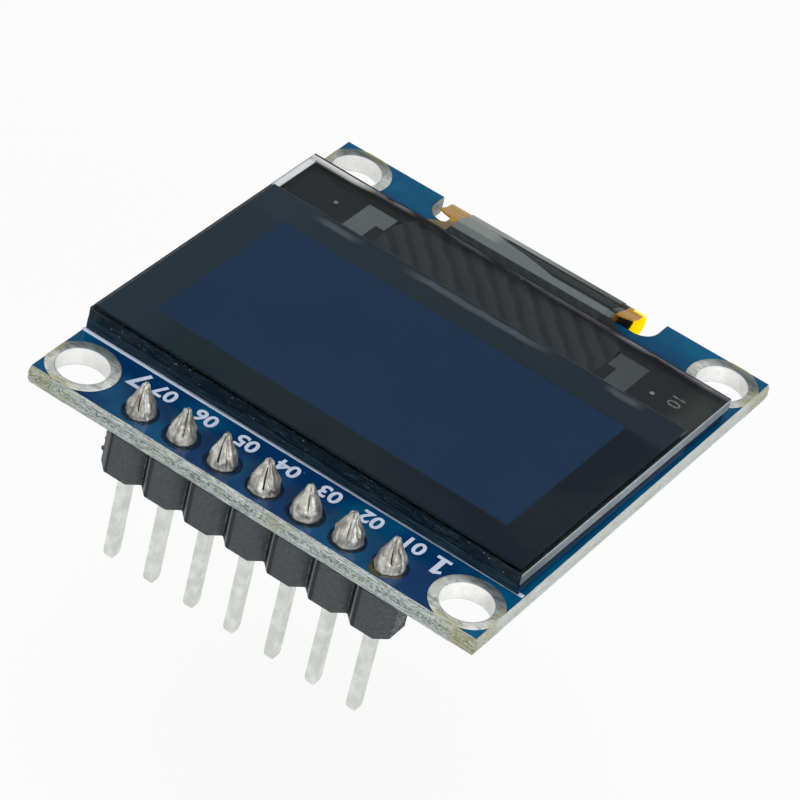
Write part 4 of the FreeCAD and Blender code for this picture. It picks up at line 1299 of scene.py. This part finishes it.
def flex_line(start_y, first_run, last_run):
    """Places along the flex's outer face, each with its outward direction."""
    crest = math.radians(FLEX_CREST)
    dip = math.radians(FLEX_DIP)
    used = CREST_RADIUS * (1 - math.cos(crest)) + FLEX_RUN * math.sin(crest)
    used += DIP_RADIUS * (math.cos(dip) - math.cos(crest)) + FLEX_RUN * math.sin(dip)
    fold = (FLEX_LEVEL - BOARD_BACK + FLEX_THICKNESS - used) / (1 + math.cos(dip))
    route = (
        ("run", first_run, 0), ("turn", FLEX_CREST, CREST_RADIUS), ("run", FLEX_RUN, 0),
        ("turn", FLEX_DIP - FLEX_CREST, DIP_RADIUS), ("run", FLEX_RUN, 0),
        ("turn", 180 - FLEX_DIP, fold), ("run", last_run, 0),
    )
    spot = Vector((start_y, FLEX_LEVEL))
    heading = 0.0
    line = []
    for kind, amount, radius in route:
        if kind == "run":
            pieces = max(1, round(amount / 0.2))
            ahead = Vector((-math.cos(heading), -math.sin(heading)))
            outward = Vector((-math.sin(heading), math.cos(heading)))
            for piece in range(pieces + 1):
                line.append((spot + ahead * amount * piece / pieces, outward))
            spot = spot + ahead * amount
            continue
        turn = math.radians(amount)
        side = 1 if turn > 0 else -1
        inward = Vector((math.sin(heading), -math.cos(heading)))
        centre = spot + inward * radius * side
        pieces = max(4, round(abs(amount) / 5))
        for piece in range(1, pieces + 1):
            angle = heading + turn * piece / pieces
            outward = Vector((-math.sin(angle), math.cos(angle)))
            line.append((centre + outward * radius * side, outward))
        heading += turn
        spot = line[-1][0]
    return line


def sheet_along(name, line, outside, inside, half_limit):
    """A thin closed sheet along a line, as wide as the flex's outline allows there."""
    middle = (BOARD_BACK + BOARD_FRONT) / 2
    across = 28
    rings = []
    for place, outward in line:
        if place.y > middle:
            half = along([(-y, width) for y, width in FLEX_OUTLINE], -place.x)
        else:
            half = along(TAIL_OUTLINE, place.x)
        half = min(half, half_limit)
        ring = []
        for offset, order in ((outside, range(across + 1)), (inside, range(across, -1, -1))):
            spot = place + outward * offset
            for step in order:
                ring.append((FLEX_X + half * (2 * step / across - 1), spot.x, spot.y))
        rings.append(ring)
    sheet = stack(name, rings, smooth=True)
    sheet.data.set_sharp_from_angle(angle=math.radians(40))
    return sheet


def flex_finish():
    f = Finish(
        "amber_polyimide", Transmission_Weight=0.2, Coat_Weight=0.2, Coat_Roughness=0.2, IOR=1.5,
        Emission_Strength=0.4,
    )
    cloud = f.grain(1.2, 3.0, 0.6)
    aside = f.x - FLEX_X
    tracks = f.math("SINE", aside * (2 * math.pi / TRACK_PITCH)).rise(-0.1, 0.3)
    base = f.blend(cloud, tint(196, 138, 38), tint(216, 164, 66))
    base = f.blend(f.y.fall(-13.3, -12.4) * f.x.rise(4.0, 4.5) * 0.6, base, tint(212, 184, 132))
    inner = aside.size().fall(4.9, 5.0)
    base = f.blend(tracks * inner * 0.5, base, tint(120, 70, 24))
    # The fold's first-pin side beside the coverlay and most of the root are painted near black.
    upper = f.z.rise(1.15, 1.2)
    under = f.x.rise(-5.42, -5.36) * (1.0 - upper) * f.y.fall(-12.2, -12.15)
    beside = f.x.fall(-4.6, -4.5)
    dark_side_strip = f.largest(f.x.rise(-5.15, -5.08) * upper, under) * beside
    crest = f.z.rise(1.5, 1.6)
    root = f.y.rise(-11.5, -11.2) * crest * f.x.fall(4.8, 5.0)
    darkened_parts = f.largest(dark_side_strip, root) * f.y.fall(-9.0, -8.8)
    base = f.blend(darkened_parts, base, f.blend(cloud, tint(20, 22, 23), tint(40, 43, 44)))
    shaded = f.x.rise(4.8, 5.0) * f.y.rise(-11.7, -11.35) * crest
    base = f.blend(shaded * 0.85, base, tint(124, 116, 90))
    # Painted highlight: a pale band across the crest of the bend on the first-pin strip.
    rub_and_sheen = f.y.between(-11.75, -11.2, 0.05) * f.x.rise(-5.1, -5.0) * beside * upper
    base = f.blend(rub_and_sheen, base, tint(112, 120, 120))
    # Painted light: the bare first-pin margin of the lower leg is painted bright yellow and glows, standing
    # for light through the film.
    lit = f.x.fall(-5.42, -5.36) * f.y.fall(-13.3, -13.1)
    base = f.blend(lit, base, tint(255, 232, 0))
    glow = f.blend(lit, tint(0, 0, 0), tint(255, 222, 0))
    rough = 0.32 + cloud * 0.2
    relief = f.bump(cloud + tracks * inner, 0.01)
    return f.feed(Base_Color=base, Roughness=rough, Emission_Color=glow, Normal=relief)


def coverlay_finish():
    f = Finish("black_coverlay", Coat_Weight=0.08, Coat_Roughness=0.3, Specular_IOR_Level=0.2)
    satin = f.grain(3.0, 4.0, 0.6, (0.5, 2.0, 2.0))
    scuffs = f.grain(5.0, 3.0, 0.7, (0.3, 4.0, 4.0)).rise(0.66, 0.74)
    ribs = f.math("SINE", (f.x * 1.12 + f.y) * (2 * math.pi / SHEEN_PITCH)).rise(-0.5, 0.8)
    colour = f.blend(satin, tint(36, 40, 43), tint(50, 54, 57))
    colour = f.blend(ribs * 0.4, colour, tint(58, 62, 65))
    # Painted highlight: the film is painted paler across the crest of the bend, less so towards the
    # first-pin end.
    upper = f.z.rise(1.25, 1.3)
    limit = f.math("MINIMUM", f.x * -0.27 - 12.02, -11.75)
    wear_and_highlight = f.y.fall(-11.2, -11.12) * (f.y - limit).rise(-0.06, 0.06) * upper
    colour = f.blend(wear_and_highlight * (0.85 + satin * 0.25), colour, tint(112, 120, 120))
    # Painted sheen along the lower brow of the fold, brighter towards the last-pin end.
    brow = f.y.fall(-13.12, -12.98)
    sheen = f.blend(f.x.rise(-4.5, 5.0), tint(98, 102, 102), tint(188, 194, 190))
    colour = f.blend(brow * (0.8 + satin * 0.2), colour, sheen)
    # Painted highlight on the crown of the bend at the last-pin end.
    crown_highlight = f.x.rise(2.2, 3.2) * f.y.fall(-11.9, -11.7)
    colour = f.blend(crown_highlight * 0.8, colour, tint(150, 156, 152))
    # Painted shade in the hollow under the crest, towards the first-pin end.
    hollow_shade = (f.y - limit).fall(-0.1, 0.0) * f.y.rise(-13.05, -12.98) * f.x.fall(2.2, 3.2)
    colour = f.blend(hollow_shade * 0.75, colour, tint(24, 27, 29))
    colour = f.blend(scuffs * 0.2, colour, tint(150, 152, 152))
    return f.feed(Base_Color=colour, Roughness=0.5 + satin * 0.16, Normal=f.bump(satin, 0.01))


fold_end = flex_line(BOND_EDGE + BOND_WIDTH, BOND_WIDTH + OVERHANG, 0.001)[-1][0].x
flex = sheet_along(
    "folded_flex", flex_line(BOND_EDGE + BOND_WIDTH, BOND_WIDTH + OVERHANG, TAIL_END - fold_end),
    0.0, -FLEX_THICKNESS, TAIL_HALF,
)
settle(flex, flex_finish(), "flex_circuit", "flex_circuit")
coverlay = sheet_along(
    "fold_coverlay", flex_line(BOND_EDGE - COVERLAY_GAP, OVERHANG - COVERLAY_GAP, COVERLAY_TAIL),
    COVERLAY_THICKNESS, 0.001, COVERLAY_HALF,
)
settle(coverlay, coverlay_finish(), "flex_coverlay", "flex_coverlay")


# Tail solder: thirty strips of tin that join the tail's tracks to the board. The
# chip parts' solder is the same tin, melted in the same pass.
paint(["flex_contacts", "component_solder"], plain_finish(
    "reflowed_solder", (4.0, 3.0, 0.6), (190, 191, 188), (222, 223, 220), (0.22, 0.18), 0.02, Metallic=1.0,
))


# Chip parts on the back: tan ceramic capacitors, black-glazed resistors, and a
# regulator and a diode in moulded epoxy. Their end caps and leads are tinned.
numbered = [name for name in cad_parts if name[-1].isdigit()]
paint([name for name in numbered if name.startswith("capacitor_")], plain_finish(
    "tan_ceramic", (6.0, 4.0, 0.7), (158, 132, 100), (184, 158, 124), (0.5, 0.2), 0.02,
))
paint([name for name in numbered if name.startswith("resistor_")], plain_finish(
    "black_glaze", (5.0, 3.0, 0.6), (22, 22, 24), (44, 44, 46), (0.35, 0.2), 0.01,
    Coat_Weight=0.3, Coat_Roughness=0.2,
))
paint(["capacitor_terminals", "resistor_terminals", "regulator_leads", "diode_leads"], plain_finish(
    "tinned_caps", (8.0, 4.0, 0.6), (196, 197, 195), (226, 227, 225), (0.3, 0.2), 0.008, Metallic=1.0,
))
paint(["regulator_body", "diode_body"], plain_finish(
    "moulded_epoxy", (14.0, 3.0, 0.7), (30, 30, 31), (52, 52, 53), (0.6, 0.2), 0.012,
))


# Floor: a plain white sweep below the pins. The camera and shiny surfaces see it
# nearly white, and it keeps a soft shadow of the module.
FLOOR_Z = -30.0
FLOOR_HALF = 4000
floor_sides = ((-1, -1), (1, -1), (1, 1), (-1, 1))
floor_corners = [(x * FLOOR_HALF, y * FLOOR_HALF, FLOOR_Z) for x, y in floor_sides]
floor = solid("floor", floor_corners, [(0, 1, 2, 3)])
if floor.data.polygons[0].normal.z < 0:
    floor.data.flip_normals()
paper = Finish("white_sweep", Base_Color=tint(250, 250, 250), Roughness=0.9)
rays = paper.node("ShaderNodeLightPath", output=None).outputs
seen = Value(paper, rays["Is Camera Ray"])
for kind in ("Is Glossy Ray", "Is Transmission Ray"):
    seen = paper.largest(seen, Value(paper, rays[kind]))
glow = paper.node("ShaderNodeEmission", None, {"Strength": 1.0})
dull = Value(paper, paper.shader.outputs[0])
mixed = paper.node("ShaderNodeMixShader", None, {0: seen * 0.9, 1: dull, 2: glow})
paper.tree.links.new(mixed.socket, paper.tree.nodes["Material Output"].inputs["Surface"])
floor.data.materials.append(paper.material)

# Light: a large soft lamp to the right of the camera, a weaker one to its left and
# a wide one overhead, in a studio room bright near the horizon and dim above.
HORIZON_LIGHT = (0.95, 0.95, 0.95, 1.0)
UPPER_LIGHT = (0.16, 0.165, 0.17, 1.0)
world = bpy.data.worlds.new("studio")
bpy.context.scene.world = world
world.use_nodes = True
sky = world.node_tree
place = sky.nodes.new("ShaderNodeTexCoord")
split = sky.nodes.new("ShaderNodeSeparateXYZ")
sky.links.new(place.outputs["Generated"], split.inputs[0])
ramp = sky.nodes.new("ShaderNodeValToRGB")
for element, position, colour in zip(ramp.color_ramp.elements, (0.04, 0.34), (HORIZON_LIGHT, UPPER_LIGHT)):
    element.position = position
    element.color = colour
sky.links.new(split.outputs["Z"], ramp.inputs[0])
sky.links.new(ramp.outputs[0], sky.nodes["Background"].inputs["Color"])
sky.nodes["Background"].inputs["Strength"].default_value = 1.0


def lamp(name, spot, size, power):
    """A square soft lamp aimed at the module."""
    light = bpy.data.lights.new(name, "AREA")
    light.size = size
    light.energy = power
    made = put(name, light)
    made.location = spot
    made.rotation_euler = (-Vector(spot)).to_track_quat("-Z", "Y").to_euler()


lamp("key", (-0.34, 0.26, 0.20), 0.25, 1.2)
lamp("overhead", (-0.04, 0.08, 0.45), 0.30, 1.0)
lamp("fill", (0.34, 0.22, 0.16), 0.25, 0.35)

# Camera: where the photograph was taken from, found from the row of pins and the
# board's corners. It looks down over the pin 1 end of the header edge.
CAMERA_PLACE = (-77.900, 163.202, 143.511)
CAMERA_RIGHT = (-0.8074, -0.5572, 0.1938)
CAMERA_UP = (0.4841, -0.4378, 0.7576)
CAMERA_LENS = 204.254
CAMERA_SENSOR = 36
camera_data = bpy.data.cameras.new("photo_camera")
camera_data.lens = CAMERA_LENS
camera_data.sensor_width = CAMERA_SENSOR
camera_data.clip_start = 0.01
camera_data.clip_end = 20
camera = put("photo_camera", camera_data)
right = Vector(CAMERA_RIGHT).normalized()
back = right.cross(Vector(CAMERA_UP)).normalized()
up = back.cross(right)
turned = Matrix((right, up, back)).transposed().to_4x4()
camera.matrix_world = Matrix.Translation(Vector(CAMERA_PLACE) * MM) @ turned
bpy.context.scene.camera = camera
bpy.context.scene.view_settings.view_transform = "Standard"
